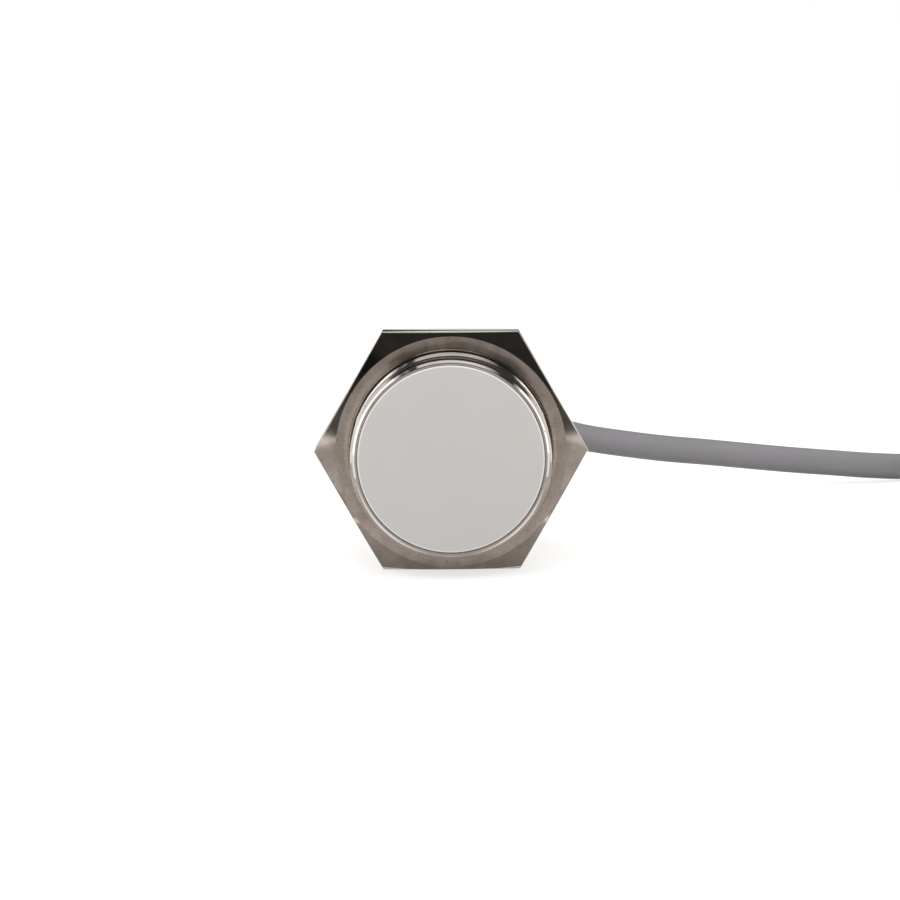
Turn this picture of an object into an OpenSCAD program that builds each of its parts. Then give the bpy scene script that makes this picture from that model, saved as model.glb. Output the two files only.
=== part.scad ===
// Cylindrical speed sensor for a toothed wheel or a cam, with a threaded barrel and a fixed cable.
// The origin is the centre of the sensing face. The barrel runs along +Y and the sensor looks along -Y.
// The nuts stand on a surface half a spanner width below the axis, with +Z up.

/* [Barrel] */
// Diameter over the crests of the mounting thread
thread_d = 30; // [29:0.25:31]
// Distance from one thread crest to the next
thread_pitch = 1.5; // [1:0.25:2]
// Length of the barrel from its front lip to its rear edge
barrel_len = 62; // [58:1:80]
// Wall between the thread's crests and the bore
barrel_wall = 1.8; // [1.4:0.1:2.2]
// How far the plastic face stands ahead of the metal lip
face_proud = 0.3; // [0:0.1:1]
// How far the front lip lies inside the thread's crests
lip_step = 0.4; // [0.2:0.05:0.6]
// Metal left round the plastic face at the front lip
lip_wall = 0.7; // [0.5:0.05:1]
// Length of the front lip
lip_len = 0.55; // [0.4:0.05:1]
// Length of the smooth collar behind the lip
collar_len = 3.5; // [2:0.5:6]
// Width of the run-out groove ahead of the thread
relief_w = 1; // [0.5:0.1:2]
// Length of the plain neck behind the thread
neck_len = 4; // [2:0.5:8]

/* [Nuts and washers] */
// Metal between the thread's crests and a flat of the nut
nut_wall = 3; // [2.4:0.1:5.5]
// Thickness of each nut
nut_h = 5; // [3.5:0.5:8]
// Distance from the sensing face to the front nut
nut_y = 15.5; // [8:0.5:25]
// Slope of the chamfer that cuts the nut's corners
nut_chamfer_angle = 17; // [10:1:30]
// Angle by which the rear nut is turned against the front one
rear_nut_turn = 0.35; // [0:0.05:30]
// Thickness of each toothed lock washer
washer_t = 1; // [0.6:0.1:2]
// Number of teeth inside each lock washer
washer_teeth = 18; // [12:1:24]

/* [Sensing head] */
// Thickness of the plastic face
face_wall = 1.2; // [0.8:0.1:2]
// Rounding of the plastic face's edge
face_edge_r = 0.35; // [0.1:0.05:0.6]
// Depth of the seat that holds the flange of the plastic cap
flange_depth = 1.4; // [1:0.1:2.5]
// Wall of the plastic cap's skirt
skirt_wall = 1.4; // [1.2:0.1:1.8]
// Length of the plastic cap from its face to the end of its skirt
cap_len = 14; // [13.6:0.2:18]
// Height of the ferrite pot core
core_h = 8.6; // [7:0.2:9]
// Outer wall of the pot core
core_wall = 1.75; // [1:0.05:2.5]
// Diameter of the pot core's middle post
core_post_d = 10; // [8:0.5:12]
// Diameter of the hole through the pot core
core_hole_d = 4.4; // [3:0.2:6]
// Floor of the pot core behind the winding
core_floor = 2.6; // [1.5:0.1:3.5]
// Thickness of the disc that holds the pot core
holder_h = 3; // [2.4:0.2:3.6]

/* [Electronics] */
// Gap between the circuit board's long edges and the barrel's bore
board_gap = 2.7; // [2.2:0.1:3.4]
// Thickness of the circuit board
board_t = 1; // [0.8:0.1:1.6]
// Height of the board's underside above the axis
board_z = 3; // [2.6:0.1:3.4]
// Width of the adjusting trimmer
trimmer_w = 6.4; // [5:0.2:7]
// Height of the adjusting trimmer
trimmer_h = 5.6; // [5.4:0.1:5.8]
// Length of the adjusting trimmer
trimmer_len = 8; // [6:0.2:9]
// Diameter of the trimmer's screw
trimmer_screw_d = 2.2; // [1.6:0.1:2.8]
// Height of the trimmer's screw above the board
trimmer_rise = 3.2; // [3.2:0.1:3.6]

/* [Rear cap] */
// Length of the rear cap outside the barrel
rear_cap_len = 9; // [7:0.5:14]
// Length of the rear cap's spigot inside the barrel
spigot_len = 8; // [6:0.5:12]
// Wall of the spigot
spigot_wall = 1.6; // [1.4:0.1:1.8]
// Thickness of the rear cap's end wall
end_wall = 3.6; // [2.8:0.2:4.6]
// Rounding of the rear cap's outer edge
rear_edge_r = 1.2; // [0.4:0.2:2]
// Diameter of each light guide
guide_d = 2.6; // [2:0.2:3]
// Distance of each light guide from the board's nearer long edge
guide_inset = 2.9; // [2.5:0.1:3.4]
// Diameter of the hole over the trimmer's screw
well_d = 3.2; // [3:0.1:3.6]

/* [Cable] */
// Diameter of the cable's jacket
cable_d = 4.8; // [4:0.1:5]
// Length of the tapered strain relief outside the rear cap
relief_len = 16.7; // [12:0.1:24]
// Diameter of the strain relief where it leaves the rear cap
relief_base_d = 9; // [8:0.2:9.2]
// Diameter of the strain relief at its tip
relief_tip_d = 6.6; // [6.2:0.1:7.6]
// Diameter of one insulated core of the cable
core_wire_d = 1.3; // [1:0.1:1.5]
// Radius of the coil's outermost loop, to the middle of the cable
coil_r = 34; // [32:0.5:40]
// Thickness of the straps that tie the coil
tie_t = 0.7; // [0.5:0.1:1]
// Width of the straps that tie the coil
tie_w = 5; // [3:0.5:8]

/* [Hidden] */

// Overrun of every cut
cut = 1;
// Gap of a part that is pressed or glued into another
fit = 0.05;
// Gap between pieces that only lie beside each other
loose = 0.3;
// Facets of drawn circles
$fn = 96;

// Barrel radii and places along the axis
crest_r = thread_d / 2;
thread_depth_share = 0.5413;
crest_flat_share = 1 / 8;
root_flat_share = 1 / 4;
root_r = crest_r - thread_depth_share * thread_pitch;
root_flat = root_flat_share * thread_pitch;
crest_flat = crest_flat_share * thread_pitch;
flank_w = (thread_pitch - root_flat - crest_flat) / 2;
bore_r = crest_r - barrel_wall;
lip_r = crest_r - lip_step;
seat_r = lip_r - lip_wall;
lip_chamfer_w = 0.35;
lip_chamfer_h = 0.35;
collar_drop = 0.05;
collar_r = crest_r - collar_drop;
collar_chamfer_w = 0.3;
collar_chamfer_h = 0.17;
neck_chamfer = 0.4;
rim_y = face_proud;
collar_y = rim_y + lip_len;
relief_y = collar_y + collar_len;
thread_y = relief_y + relief_w;
barrel_end = rim_y + barrel_len;
ridges = floor((barrel_end - neck_len - thread_y) / thread_pitch);

// Nuts and washers
nut_chamfer_share = 0.971;
nut_clearance = 0.06;
nut_sink = 0.45;
nut_af = thread_d + 2 * nut_wall;
nut_corner_r = nut_af / 2 / cos(30);
nut_chamfer_r = nut_chamfer_share * nut_af / 2;
nut_chamfer_h = (nut_corner_r - nut_chamfer_r) * tan(nut_chamfer_angle);
nut_bore_r = crest_r + nut_clearance;
tooth_len = 0.9;
washer_rim = 1.1;
washer_bore_r = crest_r + loose;
washer_r = washer_bore_r + tooth_len + washer_rim;
tooth_gap_share = 0.44;
washer_front_y = nut_y + nut_h;
washer_rear_y = washer_front_y + washer_t;
rear_nut_y = washer_rear_y + washer_t;

// Sensing cap and the seals
seat_y = rim_y + flange_depth;
flange_r = seat_r - fit;
skirt_r = bore_r - fit;
skirt_inner_r = skirt_r - skirt_wall;
seal_depth = 0.8;
seal_w = 1.4;
seal_gap = 0.03;
seal_inset = 3;
groove_r = skirt_r - seal_depth;
seal_wire_r = (bore_r - groove_r) / 2 - seal_gap;
seal_r = groove_r + seal_gap + seal_wire_r;
front_groove_y = cap_len - seal_inset - seal_w;

// Pot core, winding and holder
glue = 0.1;
core_y = face_wall + glue;
core_end = core_y + core_h;
core_r = skirt_inner_r - glue;
channel_r = core_r - core_wall;
post_r = core_post_d / 2;
channel_end = core_end - core_floor;
former_wall = 0.6;
flange_t = 0.5;
former_in = post_r + glue;
former_out = channel_r - glue;
former_y = core_y + glue;
former_end = channel_end - glue;
winding_r = former_out - loose;
winding_y = former_y + flange_t + fit;
winding_end = former_end - flange_t - fit;
lead_d = 0.5;
lead_r = (post_r + channel_r) / 2;
lead_z = board_z - lead_d / 2 - fit;
lead_x = sqrt(lead_r * lead_r - lead_z * lead_z);
lead_hole = lead_d / 2 + loose / 2;
holder_y = core_end + fit;
holder_end = holder_y + holder_h;
holder_slot = 1.4;
holder_boss_h = 4;

// Rear cap
rear_cap_r = root_r - loose;
spigot_y = barrel_end - spigot_len;
spigot_inner_r = skirt_r - spigot_wall;
rear_face = barrel_end + rear_cap_len;
wall_y = rear_face - end_wall;
lug_len = 3;
lug_wall = 1.2;
lug_in = 1;
rear_groove_y = barrel_end - seal_inset;

// Circuit board and what stands on it
board_w = 2 * (bore_r - board_gap);
board_y = holder_end - holder_slot + fit;
board_end = spigot_y + lug_len;
board_top = board_z + board_t;
pocket_inset = 2.3;
pocket_w = board_w - 2 * pocket_inset;
pocket_top = trimmer_h + loose;
pocket_deep = 3.3;
guide_rise = 1.1;
guide_x = board_w / 2 - guide_inset;
guide_z = board_top + guide_rise;
led_w = 2.6;
led_len = 2;
led_h = 2;
led_inset = 0.2;
lens_r = 0.75;
lens_len = 0.3;
trimmer_inset = 0.5;
trimmer_end = board_end - trimmer_inset;
trimmer_z = board_top + trimmer_rise;
screw_out = 1.2;
worm_r = 1.85;
trimmer_rear_wall = 0.8;
trimmer_front_wall = 0.7;
screw_slot_w = 0.5;
screw_slot_h = 0.7;
well_wall = 0.8;
well_r = well_d / 2;
plug_lip = 0.6;
plug_head_r = well_r + plug_lip;
plug_head_h = 1.2;
plug_recess = 0.7;
plug_reach = 0.9;
plug_stem = end_wall + plug_reach;
plug_slot_w = 0.6;
plug_slot_h = 0.5;

// Strain relief, clamp and cable
cable_r = cable_d / 2;
relief_bore_r = cable_r + fit;
relief_neck_r = 3.85;
relief_flange_r = 4.7;
relief_flange_h = 1.4;
relief_foot = 1.5;
relief_grooves = 5;
groove_w = 0.9;
groove_step = 2.4;
groove_depth = 0.5;
clamp_len = 4;
clamp_wall = 0.9;
exit_y = rear_face + relief_len;
wire_r = core_wire_d / 2;

// The cable's route from the tip of the strain relief, chosen by hand.
// It starts inside the rear cap, leaves straight, bends aside and sinks onto the surface.
cable_route = [
    [0, -27, 0], [0, -18, 0], [0, -9, 0], [0, 0, 0], [0, 7, -0.1], [0.6, 14, -0.4], [2.4, 20.7, -1],
    [5.4, 27, -1.8], [9.4, 32.7, -2.9], [14.3, 37.6, -4.2], [19.5, 41.4, -5.6], [25, 44.8, -7.1],
    [31.5, 48.9, -8.4], [39, 53.6, -9.7], [47, 58.5, -10.8], [55, 63.1, -11.95], [63, 67.5, -13.05],
    [71, 71.6, -14], [79, 75.4, -14.9], [87, 78.9, -15.4], [94.8, 82.4, -14.9], [100, 85.4, -14.9]
];
// How far the route's last point lies below its first
route_drop = 14.9;
// The surface that the nuts stand on, and the height of the cable's middle where straps carry it
surface_z = -nut_af / 2;
carried_z = surface_z + tie_t + cable_r;
cable_exit = [0, exit_y, 0];
cable_line = [for (p = cable_route) cable_exit + [p.x, p.y, -p.z * carried_z / route_drop]];
cable_start = cable_line[0];
cable_last = cable_line[len(cable_line) - 1];
cable_sides = 12;

// The coil: loops that spiral in and out again, and climb a layer where the spiral turns back
coil_layers = 4;
coil_layer_turns = 2.6;
coil_turns = coil_layers * coil_layer_turns;
turn_gap = 0.6;
layer_gap = 0.5;
coil_step = cable_d + turn_gap;
coil_lift = cable_d + layer_gap;
coil_climb = 0.5;
coil_rings = 24;
coil_sides = 6;
coil_heading = atan2(cable_last.y - cable_line[len(cable_line) - 2].y,
                     cable_last.x - cable_line[len(cable_line) - 2].x);
coil_start_angle = coil_heading + 90;
coil_centre = cable_last + cable_d * [cos(coil_heading), sin(coil_heading), 0]
            - coil_r * [cos(coil_start_angle), sin(coil_start_angle), 0];

// How far the spiral is from its outer radius at a number of turns, as turns of one layer
function spiral(t) = let (s = t % (2 * coil_layer_turns)) min(s, 2 * coil_layer_turns - s);
// How much of one climb is done at a number of turns, for the climb round a middle
function climbed(t, middle) =
    let (s = min(1, max(0, (t - middle) / coil_climb + 0.5))) s * s * (3 - 2 * s);
// Layers climbed at a number of turns
function layers_up(t, layer = 1) = layer >= coil_layers ? 0
    : climbed(t, layer * coil_layer_turns) + layers_up(t, layer + 1);
function coil_angle(t) = coil_start_angle - 360 * t;
function coil_point(t) = let (r = coil_r - coil_step * spiral(t), a = coil_angle(t))
    coil_centre + [r * cos(a), r * sin(a), coil_lift * layers_up(t)];
// The way along the coil at a number of turns
function coil_way(t) = [sin(coil_angle(t)), -cos(coil_angle(t)), 0];

coil_count = floor(coil_turns * coil_rings);
coil_body = [for (i = [0 : coil_count]) coil_point(coil_turns * i / coil_count)];
coil_end_point = coil_point(coil_turns) + cable_d * coil_way(coil_turns);
coil_line = concat([cable_last], coil_body, [coil_end_point]);

// The coil's least gap to itself, from the middles of its rings that lie over half a loop apart
function least(values, i = 0, best = 1e9) =
    i >= len(values) ? best : least(values, i + 1, min(best, values[i]));
coil_gap = least([for (i = [0 : 1 : coil_count]) least([for (j = [i + coil_rings / 2 : 1 : coil_count])
    norm(coil_body[i] - coil_body[j])])]) - cable_d;

// Length along a line of points
function line_length(points, i = 1, sum = 0) =
    i >= len(points) ? sum : line_length(points, i + 1, sum + norm(points[i] - points[i - 1]));

// The three cores bend up from the jacket's end and lie on top of the coil
stripped_len = 50;
core_bend_r = 26;
core_steps = 12;
core_pitch = 1.4;
core_spread = 2.4;
core_rise_len = 14;
bare_len = 6;
bare_d = 0.9;
core_top = cable_r + wire_r + coil_lift * (coil_layers - 1) + coil_centre.z;
core_way = coil_way(coil_turns);
core_side = [-core_way.y, core_way.x, 0];
// A core's point at a length along its bend; lane is -1, 0 or 1, and the bend turns towards the coil's middle
function core_point(s, lane) =
    let (turn = s / core_bend_r * 180 / PI,
         rise = min(1, s / core_rise_len),
         bent = core_bend_r + lane * (core_pitch + (core_spread - core_pitch) * rise))
    coil_end_point - core_side * core_bend_r
    + core_side * (bent * cos(turn)) + core_way * (bent * sin(turn) + core_wire_d)
    + [0, 0, (core_top - coil_end_point.z) * rise * rise * (3 - 2 * rise)];
function core_path(lane) = concat([coil_end_point + core_side * lane * core_pitch],
    [for (i = [0 : core_steps]) core_point(stripped_len * i / core_steps, lane)]);

// Points of one ring of a tube, square to the way that the tube runs
function ring_points(p, way, r, sides) =
    let (w = way / norm(way), side = cross(w, [0, 0, 1]), s = side / norm(side), up = cross(s, w))
    [for (k = [0 : sides - 1]) p + r * (sin(360 * k / sides) * s - cos(360 * k / sides) * up)];
// The way a line of points runs at one of them
function way_at(points, i) = points[min(i + 1, len(points) - 1)] - points[max(i - 1, 0)];

// A round tube swept along points
module tube(points, r, sides) {
    count = len(points);
    rings = [for (i = [0 : count - 1]) each ring_points(points[i], way_at(points, i), r, sides)];
    walls = [for (i = [0 : count - 2], k = [0 : sides - 1])
        let (a = i * sides + k, b = i * sides + (k + 1) % sides, c = a + sides, d = b + sides)
        each [[a, c, b], [b, c, d]]];
    first = [for (k = [1 : sides - 2]) [0, k, k + 1]];
    base = (count - 1) * sides;
    last = [for (k = [1 : sides - 2]) [base, base + k + 1, base + k]];
    polyhedron(points = rings, faces = concat(walls, first, last), convexity = 10);
}

// Turns a shape that stands on Z so that it stands on Y
module along_y() {
    rotate([-90, 0, 0]) children();
}

// A body of revolution round the Y axis, from points of radius and place along the axis
module turned(points) {
    along_y() rotate_extrude() polygon(points);
}

// A round bar along Y
module bar(x, y, z, r, length) {
    translate([x, y, z]) along_y() cylinder(h = length, r = r);
}

// A box given by the middle of its width, its front, its underside and its sizes
module block(x, y, z, w, length, h) {
    translate([x - w / 2, y, z]) cube([w, length, h]);
}

function thread_ridge(y) = [
    [root_r, y + root_flat / 2],
    [crest_r, y + root_flat / 2 + flank_w],
    [crest_r, y + root_flat / 2 + flank_w + crest_flat],
    [root_r, y + thread_pitch - root_flat / 2]
];

module barrel() {
    color([0.80, 0.78, 0.74]) turned(concat(
        [[bore_r, seat_y], [seat_r, seat_y], [seat_r, rim_y],
         [lip_r - lip_chamfer_w, rim_y], [lip_r, rim_y + lip_chamfer_h], [lip_r, collar_y],
         [collar_r - collar_chamfer_w, collar_y], [collar_r, collar_y + collar_chamfer_h],
         [collar_r, relief_y], [root_r, relief_y]],
        [for (i = [0 : ridges - 1]) each thread_ridge(thread_y + i * thread_pitch)],
        [[root_r, barrel_end - neck_chamfer], [root_r - neck_chamfer, barrel_end], [bore_r, barrel_end]]
    ));
}

module sensing_cap() {
    edge = [for (a = [0 : 15 : 90])
        [flange_r - face_edge_r + face_edge_r * sin(a), face_edge_r - face_edge_r * cos(a)]];
    color([0.78, 0.77, 0.75]) turned(concat([[0, 0]], edge,
        [[flange_r, seat_y], [skirt_r, seat_y],
         [skirt_r, front_groove_y], [groove_r, front_groove_y],
         [groove_r, front_groove_y + seal_w], [skirt_r, front_groove_y + seal_w],
         [skirt_r, cap_len], [skirt_inner_r, cap_len], [skirt_inner_r, face_wall], [0, face_wall]]));
}

// A seal ring in a groove that starts at a place along the axis
module seal_ring(groove_y) {
    color([0.12, 0.12, 0.12]) translate([0, groove_y + seal_w / 2, 0]) along_y()
        rotate_extrude() translate([seal_r, 0]) circle(r = seal_wire_r, $fn = 48);
}

module front_seal() {
    seal_ring(front_groove_y);
}

module ferrite_core() {
    color([0.20, 0.20, 0.21]) difference() {
        turned([[core_hole_d / 2, core_y], [post_r, core_y], [post_r, channel_end], [channel_r, channel_end],
            [channel_r, core_y], [core_r, core_y], [core_r, core_end], [core_hole_d / 2, core_end]]);
        for (side = [-1, 1]) bar(side * lead_x, channel_end - cut, lead_z, lead_hole, core_floor + 2 * cut);
    }
}

module coil_former() {
    color([0.88, 0.86, 0.80]) difference() {
        turned([[former_in, former_y], [former_out, former_y], [former_out, former_y + flange_t],
            [former_in + former_wall, former_y + flange_t], [former_in + former_wall, former_end - flange_t],
            [former_out, former_end - flange_t], [former_out, former_end], [former_in, former_end]]);
        for (side = [-1, 1])
            bar(side * lead_x, former_end - flange_t - fit, lead_z, lead_hole, flange_t + cut);
    }
}

module coil_winding() {
    color([0.72, 0.42, 0.22]) turned([[former_in + former_wall + fit, winding_y], [winding_r, winding_y],
        [winding_r, winding_end], [former_in + former_wall + fit, winding_end]]);
}

module core_holder() {
    color([0.25, 0.25, 0.26]) difference() {
        union() {
            turned([[0, holder_y], [core_r, holder_y], [core_r, holder_end], [0, holder_end]]);
            bar(0, holder_y - holder_boss_h, 0, core_hole_d / 2 - glue, holder_boss_h + fit);
        }
        block(0, holder_end - holder_slot, board_z - fit, board_w + 2 * fit, holder_slot + cut,
            board_t + 2 * fit);
        for (side = [-1, 1]) bar(side * lead_x, holder_y - cut, lead_z, lead_hole, holder_h + 2 * cut);
    }
}

lead_reach = 4;
lead_end = holder_end + lead_reach;

module coil_leads() {
    color([0.78, 0.48, 0.26]) for (side = [-1, 1])
        bar(side * lead_x, winding_end + fit, lead_z, lead_d / 2, lead_end - winding_end - fit);
}

// Places of the cable's three cores on the board's underside
pad_pitch = 4;
pad_back = 5.8;
pad_end = board_end - pad_back;
pad_z = board_z - wire_r - fit;
pad_run = 3;
via_r = 0.4;
joint_r = 0.75;

module circuit_board() {
    color([0.10, 0.36, 0.20]) difference() {
        block(0, board_y, board_z, board_w, board_end - board_y, board_t);
        for (lane = [-1, 0, 1]) translate([lane * pad_pitch, pad_end - joint_r, board_z - cut])
            cylinder(h = board_t + 2 * cut, r = via_r);
        for (side = [-1, 1]) translate([side * lead_x, lead_end + joint_r, board_z - cut])
            cylinder(h = board_t + 2 * cut, r = via_r);
    }
}

// Half balls of solder under the board, at the end of each wire
module solder_joints() {
    spots = [for (lane = [-1, 0, 1]) [lane * pad_pitch, pad_end - joint_r - fit],
        for (side = [-1, 1]) [side * lead_x, lead_end + joint_r + fit]];
    color([0.75, 0.75, 0.76]) for (s = spots) difference() {
        translate([s.x, s.y, board_z]) sphere(r = joint_r, $fn = 48);
        block(s.x, s.y - joint_r - cut, board_z, 2 * (joint_r + cut), 2 * (joint_r + cut), joint_r + cut);
    }
}

// A chip under the board with rows of legs on both sides
module chip_below(y, size, legs) {
    pitch = size.y / legs;
    color([0.13, 0.13, 0.14]) block(0, y, board_z - size.z, size.x, size.y, size.z - leg_t);
    color([0.75, 0.75, 0.76]) for (side = [-1, 1], i = [0 : legs - 1])
        block(side * (size.x + leg_out - fit) / 2, y + (i + 0.5) * pitch - leg_w / 2,
            board_z - size.z / 2, leg_out + fit, leg_w, size.z / 2);
}

// Places of the electronic parts along the board, as shares of its length from its front edge
oscillator_share = 0.15;
counter_share = 0.30;
transistor_share = 0.62;
regulator_share = 0.12;
crystal_share = 0.24;
tantalum_share = 0.42;
diode_share = 0.66;
board_len = board_end - board_y;

// Places of the rows of small parts, and of the others beside the board's middle
row_at = 8;
row_step = 2.6;
row_inset = 3.3;
crystal_x = -5.15;
tantalum_x = 2.3;
diode_x = 4.7;

// The worm on the trimmer's screw, inside its body
worm_y = trimmer_end - trimmer_len + trimmer_front_wall + fit;
worm_len = trimmer_len - trimmer_front_wall - trimmer_rear_wall - 2 * fit;

// Width, length and height of the electronic parts, and their counts of legs
oscillator_size = [4, 5, 1.75];
oscillator_legs = 4;
counter_size = [4, 8.7, 1.75];
counter_legs = 7;
transistor_size = [6.5, 6, 2.3];
transistor_tab = [5.2, 1.2, 0.5];
regulator_size = [4.5, 2.5, 1.5];
regulator_tab = [1.7, 1, 0.4];
tantalum_size = [3.2, 6, 2.5];
diode_size = [2.6, 4.3, 2.2];
diode_band = [2.7, 0.6, 2.25];
capacitor_size = [1.6, 0.8, 0.8];
capacitor_count = 8;
resistor_size = [1.6, 0.8, 0.45];
resistor_count = 10;
crystal_r = 1.2;
crystal_len = 8;
crystal_base_h = 0.6;
crystal_base_inset = 0.4;
leg_w = 0.4;
leg_out = 1;
leg_t = 0.2;

module oscillator_chip() {
    chip_below(board_y + oscillator_share * board_len, oscillator_size, oscillator_legs);
}

module pulse_counter_chip() {
    chip_below(board_y + counter_share * board_len, counter_size, counter_legs);
}

module output_transistor() {
    body = transistor_size;
    tab = transistor_tab;
    y = board_y + transistor_share * board_len;
    color([0.15, 0.15, 0.16]) block(0, y, board_z - body.z, body.x, body.y, body.z);
    color([0.75, 0.75, 0.76]) block(0, y - tab.y, board_z - tab.z, tab.x, tab.y + fit, tab.z);
}

module voltage_regulator() {
    body = regulator_size;
    tab = regulator_tab;
    y = board_y + regulator_share * board_len;
    color([0.15, 0.15, 0.16]) block(0, y, board_top, body.x, body.y, body.z);
    color([0.75, 0.75, 0.76]) block(0, y - tab.y, board_top, tab.x, tab.y + fit, tab.z);
}

module timing_crystal() {
    y = board_y + crystal_share * board_len;
    color([0.80, 0.80, 0.81]) union() {
        bar(crystal_x, y, board_top + crystal_r, crystal_r, crystal_len);
        block(crystal_x, y + crystal_base_inset, board_top, crystal_r,
            crystal_len - 2 * crystal_base_inset, crystal_base_h);
    }
}

module protection_diodes() {
    body = diode_size;
    band = diode_band;
    y = board_y + diode_share * board_len;
    for (side = [-1, 1]) {
        color([0.16, 0.16, 0.17])
            block(side * diode_x, y, board_top, body.x, body.y, body.z);
        color([0.75, 0.75, 0.76])
            block(side * diode_x, y + band.y, board_top, band.x, band.y, band.z);
    }
}

module filter_capacitors() {
    for (side = [-1, 1])
        color([0.85, 0.62, 0.20]) block(side * tantalum_x, board_y + tantalum_share * board_len, board_top,
            tantalum_size.x, tantalum_size.y, tantalum_size.z);
}

// A row of small parts on the board's upper face
module chip_row(x, y, count, size, step, tone) {
    for (i = [0 : count - 1]) {
        color(tone) block(x, y + i * step, board_top, size.x, size.y, size.z);
    }
}

module chip_capacitors() {
    chip_row(board_w / 2 - row_inset, board_y + row_at, capacitor_count, capacitor_size, row_step,
        [0.72, 0.60, 0.46]);
}

module chip_resistors() {
    chip_row(row_inset - board_w / 2, board_y + row_at, resistor_count, resistor_size, row_step,
        [0.10, 0.10, 0.11]);
}

// A light-emitting diode that shines along +Y, at the board's rear edge
module led(x, tone) {
    front = board_end - led_inset - led_len;
    color(tone) union() {
        block(x, front, board_top, led_w, led_len, led_h);
        bar(x, front + led_len - fit, guide_z, lens_r, lens_len + fit);
    }
}

module power_led() {
    led(-guide_x, [0.55, 0.85, 0.60]);
}

module output_led() {
    led(guide_x, [0.95, 0.80, 0.35]);
}

module trimmer_body() {
    color([0.15, 0.30, 0.62]) difference() {
        block(0, trimmer_end - trimmer_len, board_top, trimmer_w, trimmer_len, trimmer_h);
        bar(0, trimmer_end - trimmer_rear_wall - cut, trimmer_z, trimmer_screw_d / 2 + fit,
            trimmer_rear_wall + 2 * cut);
        bar(0, worm_y - fit, trimmer_z, worm_r + fit, worm_len + 2 * fit);
    }
}

module trimmer_screw() {
    color([0.80, 0.65, 0.35]) difference() {
        union() {
            bar(0, worm_y, trimmer_z, worm_r, worm_len);
            bar(0, trimmer_end - trimmer_rear_wall - cut, trimmer_z, trimmer_screw_d / 2,
                trimmer_rear_wall + screw_out + cut);
        }
        block(0, trimmer_end + screw_out - screw_slot_h, trimmer_z - screw_slot_w / 2,
            trimmer_screw_d + cut, screw_slot_h + cut, screw_slot_w);
    }
}

module resin_fill() {
    front = cap_len + fit;
    length = spigot_y - fit - front;
    color([0.30, 0.24, 0.18]) difference() {
        bar(0, front, 0, skirt_r, length);
        block(0, front - cut, board_z - fit, board_w + 2 * fit, length + 2 * cut, board_t + 2 * fit);
        block(0, front - cut, board_z - pocket_deep, pocket_w, length + 2 * cut, pocket_deep);
        block(0, front - cut, board_top, pocket_w, length + 2 * cut, pocket_top);
    }
}

module rear_cap() {
    edge = [for (a = [0 : 15 : 90])
        [rear_cap_r - rear_edge_r + rear_edge_r * cos(a), rear_face - rear_edge_r + rear_edge_r * sin(a)]];
    color([0.16, 0.16, 0.17]) difference() {
        union() {
            turned(concat([[spigot_inner_r, spigot_y], [skirt_r, spigot_y],
                [skirt_r, rear_groove_y], [groove_r, rear_groove_y],
                [groove_r, rear_groove_y + seal_w], [skirt_r, rear_groove_y + seal_w],
                [skirt_r, barrel_end], [rear_cap_r, barrel_end]],
                edge, [[0, rear_face], [0, wall_y], [spigot_inner_r, wall_y]]));
            // Lugs that hold the circuit board
            intersection() {
                bar(0, spigot_y, 0, spigot_inner_r + fit, lug_len + lug_wall);
                for (side = [-1, 1])
                    block(side * (board_w / 2 - lug_in + spigot_inner_r / 2), spigot_y,
                        board_z - lug_wall, spigot_inner_r, lug_len + lug_wall, board_t + 2 * lug_wall);
            }
            // Well that leads a screwdriver to the trimmer
            bar(0, trimmer_end + screw_out + loose, trimmer_z, well_r + well_wall,
                wall_y - trimmer_end - screw_out - loose + fit);
        }
        block(0, spigot_y - cut, board_z - fit, board_w + 2 * fit, lug_len + fit + cut, board_t + 2 * fit);
        bar(0, wall_y - cut, 0, relief_neck_r + fit, end_wall + 2 * cut);
        bar(0, trimmer_end, trimmer_z, well_r, rear_face - trimmer_end + cut);
        bar(0, rear_face - plug_recess, trimmer_z, plug_head_r + fit, plug_recess + cut);
        for (side = [-1, 1])
            bar(side * guide_x, wall_y - cut, guide_z, guide_d / 2 + fit, end_wall + 2 * cut);
    }
}

module rear_seal() {
    seal_ring(rear_groove_y);
}

// A clear rod that carries a diode's light out to the rear face
module light_guide(x, tone) {
    start = board_end + lens_len + led_inset;
    dome = 0.5;
    color(tone) translate([x, 0, guide_z]) turned([[0, start], [guide_d / 2, start],
        [guide_d / 2, rear_face], [guide_d / 2 - dome, rear_face + dome], [0, rear_face + dome]]);
}

module power_light_guide() {
    light_guide(-guide_x, [0.80, 0.92, 0.82]);
}

module output_light_guide() {
    light_guide(guide_x, [0.95, 0.90, 0.75]);
}

module trimmer_plug() {
    seat = rear_face - plug_recess + fit;
    color([0.10, 0.10, 0.11]) difference() {
        translate([0, 0, trimmer_z]) turned([[0, seat - plug_stem], [well_r - fit, seat - plug_stem],
            [well_r - fit, seat], [plug_head_r, seat], [plug_head_r, seat + plug_head_h],
            [0, seat + plug_head_h]]);
        block(0, seat + plug_head_h - plug_slot_h, trimmer_z - plug_slot_w / 2,
            2 * (plug_head_r + cut), plug_slot_h + cut, plug_slot_w);
    }
}

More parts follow.
